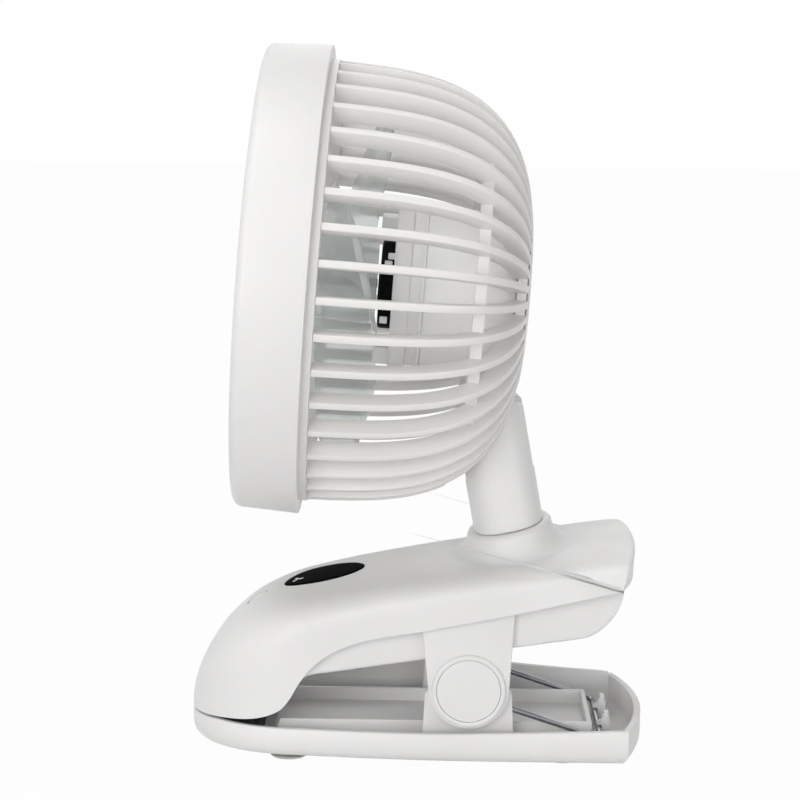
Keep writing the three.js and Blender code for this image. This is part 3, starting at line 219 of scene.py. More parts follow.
class Finish:
    """A material being put together from nodes."""

    def __init__(self, name, slot):
        self.material = bpy.data.materials.new(name)
        self.material.use_nodes = True
        self.material["slot"] = slot
        self.nodes = self.material.node_tree.nodes
        self.shader = self.nodes["Principled BSDF"]
        self.place = self.add("ShaderNodeTexCoord").outputs["Object"]

    def add(self, kind, **values):
        node = self.nodes.new(kind)
        for key, value in values.items():
            if key in node.inputs:
                node.inputs[key].default_value = value
            else:
                setattr(node, key, value)
        return node

    def join(self, start, end):
        self.material.node_tree.links.new(start, end)

    def noise(self, scale, detail=3, roughness=0.5):
        node = self.add("ShaderNodeTexNoise", Scale=scale, Detail=detail, Roughness=roughness)
        self.join(self.place, node.inputs["Vector"])
        return node.outputs["Fac"]

    def spread(self, value, low, high, start=0.3, end=0.7):
        node = self.add("ShaderNodeMapRange")
        self.join(value, node.inputs["Value"])
        for key, number in (("From Min", start), ("From Max", end), ("To Min", low),
                            ("To Max", high)):
            node.inputs[key].default_value = number
        return node.outputs["Result"]

    def colours(self, value, stops):
        ramp = self.add("ShaderNodeValToRGB")
        self.join(value, ramp.inputs["Fac"])
        band = ramp.color_ramp
        while len(band.elements) < len(stops):
            band.elements.new(0.5)
        for element, (where, colour) in zip(band.elements, stops):
            element.position = where
            element.color = linear(colour)
        self.join(ramp.outputs["Color"], self.shader.inputs["Base Color"])

    def bump(self, value, strength, depth):
        node = self.add("ShaderNodeBump", Strength=strength, Distance=depth)
        self.join(value, node.inputs["Height"])
        self.join(node.outputs["Normal"], self.shader.inputs["Normal"])

    def set(self, **values):
        for key, value in values.items():
            self.shader.inputs[key.replace("_", " ")].default_value = value
        return self.material


def moulded(name, slot, pale, dark, roughness, grain=2600, depth=0.00002, strength=0.12):
    """Moulded plastic: a faint cloudiness in its colour and a fine grain."""
    finish = Finish(name, slot)
    finish.colours(finish.noise(22, 4), [(0.3, dark), (0.7, pale)])
    finish.join(finish.spread(finish.noise(90, 5), roughness - 0.05, roughness + 0.06),
                finish.shader.inputs["Roughness"])
    finish.bump(finish.noise(grain, 2), strength, depth)
    return finish


def shell_plastic():
    finish = moulded("white_shell", "shell", "#efeeed", "#ebeae9", 0.42)
    return finish.set(Subsurface_Weight=0.06, Subsurface_Scale=0.002, IOR=1.48)


def cage_plastic():
    finish = moulded("white_cage", "shell", "#f0eeec", "#ebe9e7", 0.4, grain=3200)
    return finish.set(IOR=1.48)


def smoke_plastic():
    finish = moulded("smoke_blade", "smoke", "#eef1f0", "#e2e6e5", 0.2, strength=0.04)
    return finish.set(Transmission_Weight=0.72, IOR=1.06)


def gloss_black():
    finish = Finish("display_black", "gloss")
    finish.colours(finish.noise(60, 3), [(0.3, "#050506"), (0.7, "#09090b")])
    finish.join(finish.spread(finish.noise(300, 4), 0.1, 0.16),
                finish.shader.inputs["Roughness"])
    finish.bump(finish.noise(140, 2), 0.02, 0.00002)
    return finish.set(IOR=1.03, Specular_IOR_Level=0.1)


def rubber(name, slot, pale, dark):
    finish = moulded(name, slot, pale, dark, 0.8, grain=1700, depth=0.00005, strength=0.3)
    return finish.set(Specular_IOR_Level=0.3)


def bright_steel():
    finish = Finish("bright_steel", "steel")
    finish.colours(finish.noise(120, 4), [(0.3, "#83858a"), (0.7, "#9b9da1")])
    finish.join(finish.spread(finish.noise(400, 3), 0.14, 0.2),
                finish.shader.inputs["Roughness"])
    finish.bump(finish.noise(900, 2), 0.02, 0.000005)
    return finish.set(Metallic=1.0)


def dark_plastic():
    return moulded("motor_black", "dark", "#131315", "#0c0c0e", 0.45).set(IOR=1.12)


def icon_white():
    return moulded("display_print", "shell", "#f4f4f6", "#ececef", 0.5).set(IOR=1.45)


def cell_film():
    return moulded("cell_film", "cell", "#44789b", "#3a6885", 0.3, grain=900).set(IOR=1.45)


def board_lacquer():
    finish = moulded("board_lacquer", "board", "#236a44", "#185032", 0.4, grain=1200)
    return finish.set(Coat_Weight=0.3)


SHELL = shell_plastic()
CAGE = cage_plastic()
SMOKE = smoke_plastic()
GLOSS = gloss_black()
GRIP = rubber("grip_rubber", "rubber", "#343435", "#29292a")
SOLE = rubber("foot_rubber", "foot_rubber", "#dad8d4", "#d0cecb")
STEEL = bright_steel()
DARK = dark_plastic()
ICON = icon_white()
CELL = cell_film()
BOARD = board_lacquer()

for node, finish in {
    "button_board": BOARD, "battery_cell_right": CELL, "battery_cell_left": CELL,
    "main_board": BOARD, "usb_socket": STEEL, "cover_screw_1": STEEL, "cover_screw_2": STEEL,
    "cover_screw_3": STEEL, "cover_screw_4": STEEL, "swivel_retainer": DARK,
    "retainer_screw_1": STEEL, "retainer_screw_2": STEEL, "tilt_pin": STEEL,
    "motor_shaft": STEEL, "hinge_pin": STEEL,
}.items():
    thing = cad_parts[node]
    thing.data.materials.clear()
    thing.data.materials.append(finish)

# ---- Camera and light ---------------------------------------------------------------------


def set_camera():
    lens = bpy.data.cameras.new("camera")
    lens.sensor_fit = "HORIZONTAL"
    lens.sensor_width = 36
    lens.lens = 100.575
    lens.clip_end = 10
    camera = bpy.data.objects.new("camera", lens)
    right = Vector((-0.01171623, 0.99987991, 0.01014424))
    up = Vector((-0.17163712, -0.01200534, 0.98508709))
    back = Vector((0.98509057, 0.00980038, 0.17175716))
    camera.matrix_world = Matrix.Translation((0.76931, 0.000685, 0.256961)) @ Matrix(
        (right, up, back)).transposed().to_4x4()
    bpy.context.scene.collection.objects.link(camera)
    bpy.context.scene.camera = camera


def lamp(name, place, aim, size, power):
    light = bpy.data.lights.new(name, "AREA")
    light.shape = "DISK"
    light.size = size
    light.energy = power
    thing = bpy.data.objects.new(name, light)
    thing.location = place
    thing.rotation_euler = (Vector(aim) - Vector(place)).to_track_quat("-Z", "Y").to_euler()
    bpy.context.scene.collection.objects.link(thing)


def seen_rays(tree):
    """One for rays that show the background itself: the camera's, and those in gloss or glass."""
    rays = tree.nodes.new("ShaderNodeLightPath")
    socket = rays.outputs["Is Camera Ray"]
    for name in ("Is Glossy Ray", "Is Transmission Ray"):
        either = tree.nodes.new("ShaderNodeMath")
        either.operation = "MAXIMUM"
        tree.links.new(socket, either.inputs[0])
        tree.links.new(rays.outputs[name], either.inputs[1])
        socket = either.outputs["Value"]
    return socket


def set_light():
    bpy.context.scene.view_settings.view_transform = "Standard"
    world = bpy.data.worlds.new("studio")
    bpy.context.scene.world = world
    world.use_nodes = True
    nodes = world.node_tree.nodes
    links = world.node_tree.links
    glow = nodes["Background"]
    glow.inputs["Color"].default_value = (1, 1, 1, 1)
    glow.inputs["Strength"].default_value = 0.33
    white = nodes.new("ShaderNodeBackground")
    white.inputs["Color"].default_value = (1, 1, 1, 1)
    mix = nodes.new("ShaderNodeMixShader")
    links.new(seen_rays(world.node_tree), mix.inputs["Fac"])
    links.new(glow.outputs["Background"], mix.inputs[1])
    links.new(white.outputs["Background"], mix.inputs[2])
    links.new(mix.outputs["Shader"], nodes["World Output"].inputs["Surface"])
    lamp("front_box", (1.3, -0.55, 0.4), (0, 0, 0.14), 1.0, 8.3)
    lamp("side_box", (1.0, 1.1, 0.35), (0, 0, 0.14), 0.9, 3.8)
    lamp("top_box", (0.3, -0.3, 1.3), (0, 0, 0.16), 0.8, 4.8)
    lamp("back_box", (-1.1, 0.2, 0.7), (0, 0, 0.14), 0.9, 1.6)


def lay_floor():
    bm = bmesh.new()
    bmesh.ops.create_grid(bm, x_segments=1, y_segments=1, size=3)
    mesh = bpy.data.meshes.new("floor")
    bm.to_mesh(mesh)
    bm.free()
    floor = bpy.data.objects.new("floor", mesh)
    bpy.context.scene.collection.objects.link(floor)
    material = bpy.data.materials.new("floor")
    material.use_nodes = True
    nodes = material.node_tree.nodes
    links = material.node_tree.links
    paper = nodes["Principled BSDF"]
    paper.inputs["Base Color"].default_value = (0.74, 0.74, 0.74, 1)
    paper.inputs["Roughness"].default_value = 0.7
    white = nodes.new("ShaderNodeEmission")
    seen = nodes.new("ShaderNodeMath")
    seen.operation = "MULTIPLY"
    seen.inputs[1].default_value = 0.97
    mix = nodes.new("ShaderNodeMixShader")
    links.new(seen_rays(material.node_tree), seen.inputs[0])
    links.new(seen.outputs["Value"], mix.inputs["Fac"])
    links.new(paper.outputs["BSDF"], mix.inputs[1])
    links.new(white.outputs["Emission"], mix.inputs[2])
    links.new(mix.outputs["Shader"], nodes["Material Output"].inputs["Surface"])
    mesh.materials.append(material)


set_camera()
set_light()
lay_floor()

# ---- Forms that both jaws follow ----------------------------------------------------------

NOSE_Y = -79.6
SHOULDER_Y = -40.1
NOSE_LENGTH = 39.5
NOSE_HALF = 31
TAPER_END = 28.9
TAPER_LENGTH = 69
TAPER_GAIN = 4.2
HALF_WIDTH = 35.2
JAW_BACK = 79.6
JAW_BOW = 6.8


def half_width(y, inset=0.0):
    if y < SHOULDER_Y:
        part = (SHOULDER_Y - y) / (NOSE_LENGTH - inset)
        return (NOSE_HALF - inset) * math.sqrt(max(0, 1 - part ** 2))
    left = max(0, (TAPER_END - y) / TAPER_LENGTH)
    return HALF_WIDTH - TAPER_GAIN * left ** 2 - inset


def plan(inset):
    """The outline seen from above, from the nose's tip round the right side and back."""
    count = 40
    right = []
    for k in range(count + 1):
        y = SHOULDER_Y - (NOSE_LENGTH - inset) * math.cos(k / count * math.pi / 2)
        right.append((half_width(y, inset), y))
    for k in range(1, count + 1):
        y = SHOULDER_Y + (JAW_BACK - JAW_BOW - SHOULDER_Y) * k / count
        right.append((half_width(y, inset), min(y, JAW_BACK - JAW_BOW - inset * 0.6)))
    radius = (HALF_WIDTH ** 2 + JAW_BOW ** 2) / (2 * JAW_BOW)
    reach = math.asin((HALF_WIDTH - inset) / (radius - inset))
    for k in range(1, count // 2 + 1):
        turn = reach * (1 - 2 * k / count)
        right.append(((radius - inset) * math.sin(turn),
                      JAW_BACK - radius + (radius - inset) * math.cos(turn)))
    return right + [(-x, y) for x, y in right[-2:0:-1]]


SKIRT = [
    (-82, 12.4), (-73, 13.3), (-65.9, 14.1), (-59.1, 14.9), (-53.7, 16.1), (-48.6, 18.2),
    (-46, 20.1), (-43.4, 23.6), (-40.8, 28.3), (-37.4, 33.1), (-34, 36.6), (-29.7, 39.9),
    (-24.5, 42.6), (-18.6, 44.8), (-12.6, 46.3), (-5.8, 47.6), (0.6, 48.7), (9.5, 50.6),
    (33.1, 55.5), (40, 57.1), (50, 58.8), (56, 59.7), (62, 60.8), (75.3, 63.9), (82, 65.4),
]
CROWN = [
    (0, 12.2), (0.77, 19.2), (1.48, 25.4), (2.41, 33.2), (3.07, 38.9), (3.61, 43.4),
    (4.06, 46.7), (4.48, 49.7), (4.86, 52.1), (5.54, 55.5), (6.15, 58.1), (6.7, 59.9),
    (7.21, 61.4), (7.68, 62.8), (8.13, 64.1), (8.56, 65.4), (8.96, 66.6), (9.34, 67.8),
    (9.71, 68.9), (10.56, 71.3), (11.38, 73.6), (11.98, 75.4), (12.27, 76.3),
]
SIDE = [
    (0, 12), (1.9, 13.2), (3.1, 18), (4.43, 28), (5.88, 40), (7.04, 47.5), (8.34, 53.2),
    (9.47, 57.2), (10.94, 62.4), (12.27, 68),
]
BACK_Y = 75.7
BACK_ROUND = 1.8
BACK_BOW = 6.4
SIDE_SHARE = 0.16
HOUSING_WALL = 2.2
POWER = 2 / 3.2


def crown_height(x, y):
    """The housing's upper surface over a point of the plan."""
    along = math.sqrt(max(y - NOSE_Y, 0))
    top = through(CROWN, along)
    side = through(SIDE, along)
    share = min(abs(x) / max(half_width(y), 0.01), 1)
    return side + (top - side) * (1 - share ** (2 / POWER)) ** (POWER / 2)


# ---- Lower jaw ----------------------------------------------------------------------------


def rim_height(y):
    if y < -70:
        return 11.0 + 1.5 * (y + 84.6) / 15
    return 12.6 if y < 10 else 12.6 + 2.2 * (y - 10) / 69.6


def tray():
    """The tray's skin: under it, up its side, over its rim and down to its floor."""
    levels = [(60, 1.9), (12, 1.9), (5.4, 1.9), (4, 2.05), (2.7, 2.55), (1.6, 3.35), (0.75, 4.4),
              (0.2, 5.8), (0, 7.2), (0, None), (0.25, None), (0.5, None), (2.0, None),
              (2.3, None), (2.5, None), (2.5, 6), (2.8, 4.8), (3.6, 3.9), (5, 3.4), (12, 3.4),
              (60, 3.4)]
    rims = {9: -0.5, 10: -0.12, 11: 0, 12: 0, 13: -0.12, 14: -0.5}
    outlines = []
    for inset, _ in levels:
        if inset == 60:
            outlines.append([(0, min(max(y, -45), 60)) for _, y in plan(5)])
        else:
            outlines.append(plan(inset))
    count = len(outlines[0])

    def place(u, v):
        level = round(v * (len(levels) - 1))
        x, y = outlines[level][round(u * count) % count]
        z = levels[level][1]
        if z is None:
            z = rim_height(y) + rims[level]
        return Vector((x, y, z))

    bm = skin(bmesh.new(), count, len(levels) - 1, place)
    tidy(bm)
    return bm


def nose_platform():
    outline = [p for p in plan(2.1) if p[1] < -54.2]
    bm = bmesh.new()
    outline = sorted([p for p in outline if p[0] >= 0], key=lambda p: p[1])
    loop = outline + [(-x, y) for x, y in reversed(outline) if x > 0.01]
    face = bm.faces.new([bm.verts.new((x, y, 3)) for x, y in loop])
    grown = bmesh.ops.extrude_face_region(bm, geom=[face])["geom"]
    moved = [part for part in grown if isinstance(part, bmesh.types.BMVert)]
    bmesh.ops.translate(bm, vec=(0, 0, 6.5), verts=moved)
    tidy(bm)
    return bm


HINGE_Y = 17.9
HINGE_Z = 27.6
BAR_Y = 64.4
BAR_Z = 8.14
FLOOR_Z = 2.4
MIDDLE_FLOOR_Z = 8.2
DIVIDER_TOP = 12.8
DIVIDER_END = 61.4
WIRE_RADIUS = 1.0
BAR_GAP = 0.1


def jaw_ear():
    y = HINGE_Y
    outline = [(y - 16.2, FLOOR_Z), (y - 5.5, FLOOR_Z), (y - 5.5, 8.6), (y + 5.5, 8.6),
               (y + 5.5, FLOOR_Z), (y + 16.2, FLOOR_Z), (y + 15, 25),
               *arc(y, HINGE_Z, 11.5, 12, 168, 24), (y - 15, 25)]
    return soften(plate(outline, 24.3, 27.7), 0.4)


def divider():
    outline = [(-51, FLOOR_Z), (DIVIDER_END, FLOOR_Z), (DIVIDER_END, DIVIDER_TOP),
               (-47.5, DIVIDER_TOP)]
    return soften(plate(outline, 17.7, 19.5), 0.35)


def middle_floor():
    """The raised floor between the dividers, with the wall across its rear end."""
    floor = plate([(-49.5, FLOOR_Z), (60, FLOOR_Z), (60, MIDDLE_FLOOR_Z),
                   (-49.5, MIDDLE_FLOOR_Z)], -18, 18)
    across = plate([(59.6, FLOOR_Z), (DIVIDER_END, FLOOR_Z), (DIVIDER_END, DIVIDER_TOP),
                    (59.6, DIVIDER_TOP)], -18.4, 18.4)
    return gather(floor, soften(across, 0.35))


def bar_hook():
    """A post behind the spring's bar, with a lip over the bar and a small pip on top."""
    room = WIRE_RADIUS + BAR_GAP
    seat = BAR_Z - room
    over = BAR_Z + room
    back = BAR_Y + room
    outline = [(BAR_Y - 1.2, FLOOR_Z), (back + 2.8, FLOOR_Z), (back + 2.8, 11.6),
               (back + 2.4, 12.2), (back + 2.3, 12.2), (back + 2.3, 14),
               (back + 0.7, 14), (back + 0.7, 12.2),
               (back + 0.4, 12.2), (back, 11.6), (back, over + 1.4), (BAR_Y - 0.6, over + 0.6),
               (BAR_Y - 0.6, over), (back, over), (back, seat), (BAR_Y - 1.2, seat)]
    return soften(plate(outline, 8, 11.4), 0.2)


GUARD = [(-46, 11.6), (-41.5, 13.2), (-30, 15.8), (-18, 18.4), (-6, 20.5), (4, 21.1),
         (17.9, 20.6), (34, 18.4), (55, 16.5), (71.5, 15.1), (72.6, 13.6)]
GUARD_START = -45.9
GUARD_END = 72.5


def left_guard():
    """A guard standing on the left wall, highest beside the hinge."""

    def place(u, v):
        y = GUARD_START + (GUARD_END - GUARD_START) * v
        low = rim_height(y) - 6
        top = max(through(GUARD, y), low + 0.5)
        wall = 1.3 + 1.27 * min(max((y + 40) / 16, 0), 1)
        section = [(0.1, low), (0.1, top - 0.4), (0.25, top - 0.1), (0.5, top),
                   (wall - 0.4, top), (wall - 0.12, top - 0.1), (wall, top - 0.4), (wall, low)]
        inset, z = section[round(u * 8) % 8]
        return Vector((inset - half_width(y), y, z))

    bm = skin(bmesh.new(), 8, 80, place)
    tidy(bm)
    close(bm)
    return bm


def make_lower_jaw():
    inside = mirrored(gather(jaw_ear(), divider(), bar_hook()))
    shape = gather(tray(), nose_platform(), inside, middle_floor(), left_guard())
    piece("tray_shell", shape, BASE, SHELL, "lower_jaw", "lower_jaw")


def pad_shape(inset, bottom, top, ridges):
    """A rubber pad with round ridges across it."""
    rows = [p for p in plan(inset) if p[1] < -53 and p[0] >= 0]
    rows.sort(key=lambda p: p[1])
    first = rows[0][1]

    def place(u, v):
        y = first + (-53 - first) * v
        half = half_width(y, inset) if v > 0 else 0.5
        around = u * 2
        if around <= 1:
            x = half * (1 - 2 * around)
            z = top + ridges * (0.5 + 0.5 * math.cos(v * 7.5 * 2 * math.pi))
            return Vector((x, y, z))
        return Vector((half * (2 * around - 3), y, bottom))

    bm = skin(bmesh.new(), 24, 120, place)
    tidy(bm)
    close(bm)
    return bm


def make_pads():
    piece("lower_grip", pad_shape(2.9, 9.8, 12.2, 0.4), BASE, GRIP, "lower_jaw", "lower_jaw_pad")
    piece("upper_grip", pad_shape(3.5, 16.1, 17.3, 0), BASE, GRIP, "base", "upper_jaw_pad")


def make_feet():
    for name, x, y in (("foot_front_right", 20, -44.4), ("foot_front_left", -20, -44.4),
                       ("foot_back_right", 20, 50.9), ("foot_back_left", -20, 50.9)):
        profile = [(0, 0), (5.7, 0), (6.1, 0.12), (6.4, 0.35), (6.6, 0.9), (0, 0.9)]
        shape = put(turned(profile, 64), Matrix.Translation((x, y, 0)) @ UPRIGHT)
        piece(name + "_pad", shape, BASE, SOLE, "lower_jaw", name)


def spring_path():
    """Half of the wire's middle line, from the upper leg's end to the middle of the bar."""
    radius = 3.8
    pitch = 2.08
    end_y, end_z = 30, 37.2 + 0.158 * 28.9 - 1.1
    direction = math.atan2(end_z - HINGE_Z, end_y - HINGE_Y)
    reach = math.hypot(end_z - HINGE_Z, end_y - HINGE_Y)
    start = direction + math.acos(radius / reach)
    sweep = 8 * math.pi + math.radians(251.5) - start
    outer = 23.2
    length = sweep / (2 * math.pi) * pitch
    path = [Vector((outer - length, end_y, end_z))]
    steps = 180
    for k in range(steps + 1):
        turn = start + sweep * k / steps
        path.append(Vector((outer - length + length * k / steps,
                            HINGE_Y + radius * math.cos(turn),
                            HINGE_Z + radius * math.sin(turn))))
    slope = math.tan(math.radians(18.5))
    bend = 3
    path.append(Vector((outer, BAR_Y - bend, BAR_Z + bend * slope)))
    for k in range(1, 9):
        turn = k / 8 * math.pi / 2
        y = BAR_Y - bend + bend * math.sin(turn)
        path.append(Vector((outer - bend + bend * math.cos(turn), y,
                            BAR_Z + (BAR_Y - y) * slope)))
    path.append(Vector((0, BAR_Y, BAR_Z)))
    return path


def make_spring():
    right = spring_path()
    path = right + [Vector((-p.x, p.y, p.z)) for p in reversed(right[:-1])]
    sides = 14
    rings = []
    normal = Vector((1, 0, 0))
    for k, point in enumerate(path):
        along = (path[min(k + 1, len(path) - 1)] - path[max(k - 1, 0)]).normalized()
        if abs(along.dot(normal)) > 0.98:
            normal = Vector((0, 0, 1))
        normal = (normal - along * along.dot(normal)).normalized()
        across = along.cross(normal)
        rings.append([point + WIRE_RADIUS * (normal * math.cos(turn) + across * math.sin(turn))
                      for turn in (2 * math.pi * s / sides for s in range(sides))])

    def place(u, v):
        return rings[round(v * (len(rings) - 1))][round(u * sides) % sides]

    bm = skin(bmesh.new(), sides, len(rings) - 1, place)
    tidy(bm)
    close(bm)
    wire = piece("spring_wire", bm, BASE, STEEL, None, "clip_spring")
    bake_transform(wire)


# ---- Upper jaw ----------------------------------------------------------------------------


def housing_skin():
    """The crown, its sides down to the skirt's edge, and the back wall."""
    across = 64
    stations = 110
    rounding = 8
    wall = 8
    total = stations + rounding + wall
    last = math.sqrt(BACK_Y - BACK_ROUND - NOSE_Y)

    def place(u, v):
        step = round(v * total)
        side_sign = 1 if u < 0.5 else -1
        part = 1 - abs(2 * u - 1)
        along = last * min(step / stations, 1)
        y = NOSE_Y + along ** 2
        top = through(CROWN, along)
        side = min(through(SIDE, along), top - 0.01)
        low = through(SKIRT, y)
        half = half_width(y)
        turn_in = 0.0
        if side < low:
            share = min((low - side) / max(top - side, 0.01), 1)
            turn_in = math.asin(min(share ** (1 / POWER), 1))
        if part < SIDE_SHARE and side > low:
            x, z = half, low + (side - low) * part / SIDE_SHARE
        else:
            start = SIDE_SHARE if side > low else 0
            turn = turn_in + (math.pi / 2 - turn_in) * (part - start) / (1 - start)
            x = half * max(math.cos(turn), 0) ** POWER
            z = side + (top - side) * math.sin(turn) ** POWER
        if step > stations:
            turn = min((step - stations) / rounding, 1) * math.pi / 2
            y += BACK_ROUND * math.sin(turn)
            z -= BACK_ROUND * (1 - math.cos(turn)) * min((z - low) / 6, 1)
            z = max(z, low)
        if step > stations + rounding:
            down = (step - stations - rounding) / wall
            z = z + (through(SKIRT, BACK_Y) - z) * down
        radius = (HALF_WIDTH ** 2 + BACK_BOW ** 2) / (2 * BACK_BOW)
        blend = min(max((y - 40) / 22, 0), 1)
        blend = blend ** 2 * (3 - 2 * blend)
        lift = min(max((z - low) / max(top - low, 0.01), 0), 1)
        y -= (radius - math.sqrt(radius ** 2 - x ** 2)) * blend * (1 - 0.55 * lift)
        return Vector((x * side_sign, y, z))

    bm = skin(bmesh.new(), across, total, place)
    bmesh.ops.remove_doubles(bm, verts=bm.verts, dist=1e-3)
    bmesh.ops.recalc_face_normals(bm, faces=bm.faces)
    centre = max(bm.faces, key=lambda face: face.calc_center_median().z)
    if centre.normal.z < 0:
        bmesh.ops.reverse_faces(bm, faces=bm.faces)
    bmesh.ops.solidify(bm, geom=bm.faces[:], thickness=HOUSING_WALL)
    return bm


def collar_skin():
    """The flared foot of the neck, from its flat top down into the crown."""
    lean = Matrix.Rotation(LEAN, 3, "X")
    rings = [(0.0, 0), (13, 0), (13.7, -0.12), (14.3, -0.45), (14.8, -1), (15.1, -1.7)]
    flare = 24
    sides = 96
    reach_x = 33

    def place(u, v):
        turn = 2 * math.pi * u
        level = round(v * (len(rings) + flare - 1))
        if level < len(rings):
            r, t = rings[level]
            return NECK_FOOT + lean @ Vector(((r + 5.4) * math.cos(turn), r * math.sin(turn) - 0.8,
                                              t - 0.3))
        part = (level - len(rings) + 1) / flare
        grow = 15.1 + 9 * part ** 1.35
        outer = NECK_FOOT + lean @ Vector(((grow + 5.4 - 3.4 * part) * math.cos(turn),
                                           grow * math.sin(turn) - 0.8, -2 - 3 * part))
        if abs(outer.x) > reach_x:
            outer.x = math.copysign(reach_x, outer.x)
        ground = crown_height(outer.x, outer.y) - 0.05
        settle = 1 - (1 - part) ** 2
        if part >= 1:
            ground -= 0.8
        outer.z = outer.z * (1 - settle) + ground * settle
        return outer

    bm = skin(bmesh.new(), sides, len(rings) + flare - 1, place)
    tidy(bm)
    return bm


LENS_Y = -33
LENS_HALF_X = 10.8
LENS_HALF_Y = 14


def lens_outline(grow, count):
    turns = [2 * math.pi * k / count for k in range(count)]
    return [((LENS_HALF_X + grow) * math.cos(turn), LENS_Y + (LENS_HALF_Y + grow) * math.sin(turn))
            for turn in turns]


def lens_patch(grow, lift, depth):
    """A patch of the crown inside the display's oval, with a rolled edge."""
    levels = [(0.0, 0), (0.3, 0), (0.55, 0), (0.75, 0), (0.88, 0), (0.95, 0), (0.975, -0.05),
              (0.992, -0.16), (1, -0.34), (1, -depth), (0.5, -depth), (0, -depth)]
    count = 72
    rim = lens_outline(grow, count)

    def place(u, v):
        share, down = levels[round(v * (len(levels) - 1))]
        x, y = rim[round(u * count) % count]
        x *= share
        y = LENS_Y + (y - LENS_Y) * share
        return Vector((x, y, crown_height(x, y) + lift + down))

    bm = skin(bmesh.new(), count, len(levels) - 1, place)
    tidy(bm)
    return bm


BUTTON_TILT = math.radians(35.2)
BUTTON = Matrix.Translation((0, -56.8, 50.95)) @ Matrix.Rotation(BUTTON_TILT, 4, "X") @ UPRIGHT


def display_icon():
    """A small three-bladed fan sign on the display."""
    bm = bmesh.new()
    for k in range(4):
        turn = Matrix.Rotation(2 * math.pi * k / 3, 4, "Z")
        size = Matrix.Diagonal((0.62, 0.95, 1, 1)) if k < 3 else Matrix.Scale(0.42, 4)
        lean = Matrix.Translation((0.35, 1.25, 0)) if k < 3 else Matrix()
        rim = bmesh.ops.create_circle(bm, cap_ends=True, segments=20, radius=1,
                                      matrix=turn @ lean @ size)["verts"]
        face = rim[0].link_faces[0]
        grown = bmesh.ops.extrude_face_region(bm, geom=[face])["geom"]
        moved = [part for part in grown if isinstance(part, bmesh.types.BMVert)]
        bmesh.ops.translate(bm, vec=(0, 0, 0.12), verts=moved)
    for corner in bm.verts:
        x, y = corner.co.x + 0.8, corner.co.y - 42.6
        corner.co = (x, y, crown_height(x, y) + 0.18 + corner.co.z)
    bmesh.ops.recalc_face_normals(bm, faces=bm.faces)
    return bm


def make_housing():
    body = housing_skin()
    recess = lens_patch(0.3, 3, 4.1)
    bore = put(turned([(0, -3.5), (4.3, -3.5), (4.3, 4), (0, 4)], 64), BUTTON)
    inlet = soften(plate([(66, 67.05), (80, 67.05), (80, 70.95), (66, 70.95)], -4.9, 4.9), 1.2)
    body = carve(body, recess, bore, inlet)
    soften(body, 0.45, over=50)
    piece("housing_shell", gather(body, collar_skin()), BASE, SHELL, "base", "upper_housing")
    piece("display_glass", lens_patch(0, 0.25, 1.3), BASE, GLOSS, "base", "display_lens")
    piece("display_icon", display_icon(), BASE, ICON, "base")
    profile = [(0, -3.4), (4, -3.4), (4, -0.15), (3.93, 0.1), (3.75, 0.27), (3.4, 0.35),
               (2.2, 0.33), (0, 0.3)]
    piece("button_cap", put(turned(profile, 64), BUTTON), BASE, SHELL, "button", "power_button")


BELLY = [
    (-76.8, 17.6), (-60, 17.6), (-51.5, 17.9), (-47, 20.9), (-43.4, 25.6), (-39.5, 29.6),
    (-36, 31.1), (-30, 32), (1.1, 36.8), (44.5, 43.3), (54.7, 44.9), (59.4, 46), (64.2, 49.3),
    (67.8, 53.7), (69.9, 58.3), (70.6, 62), (70.8, 66),
]


def belly_skin():
    """The lower cover under the housing: sole, belly and its rounded lower edges."""
    across = 28
    stations = 150
    lengths = [0.0]
    for before, after in zip(BELLY, BELLY[1:]):
        lengths.append(lengths[-1] + math.dist(before, after))

    def place(u, v):
        way = v * lengths[-1]
        y = through(list(zip(lengths, [p[0] for p in BELLY])), way)
        z = through(list(zip(lengths, [p[1] for p in BELLY])), way)
        half = min(28.3, half_width(y) - 2.7)
        part = 1 - abs(2 * u - 1)
        sign = 1 if u < 0.5 else -1
        top = max(through(SKIRT, y) + 5, z + 3)
        if part < 0.3:
            return Vector((sign * half, y, top + (z + 1.4 - top) * part / 0.3))
        if part < 0.6:
            turn = (part - 0.3) / 0.3 * math.pi / 2
            return Vector((sign * (half - 1.4 + 1.4 * math.cos(turn)), y,
                           z + 1.4 - 1.4 * math.sin(turn)))
        return Vector((sign * (half - 1.4) * (1 - part) / 0.4, y, z))

    bm = skin(bmesh.new(), across, stations, place)
    bmesh.ops.remove_doubles(bm, verts=bm.verts, dist=1e-3)
    close(bm)
    return bm


def lug_shape():
    """One hinge lug with its raised round boss and the seat of its cap."""
    head_z = 58
    radius = 13.9
    front, back = 0.8, 33.6

    def tangent(y, sign):
        reach = math.hypot(y - HINGE_Y, head_z - HINGE_Z)
        facing = math.atan2(head_z - HINGE_Z, y - HINGE_Y)
        return math.degrees(facing + sign * math.acos(radius / reach))

    outline = [(front, head_z), *arc(HINGE_Y, HINGE_Z, radius, tangent(front, 1),
                                     360 + tangent(back, -1), 48), (back, head_z)]
    lug = soften(plate(outline, 27.4, 31.5), 0.5, over=60)
    hinge = Matrix.Translation((0, HINGE_Y, HINGE_Z)) @ TO_SIDE
    boss = turned([(0, 31), (12.6, 31), (12.6, 32.8), (12.5, 33.05), (12.25, 33.2),
                   (11.3, 33.2), (11.1, 33.1), (11.05, 31.8), (0, 31.8)], 96)
    return gather(lug, put(boss, hinge))


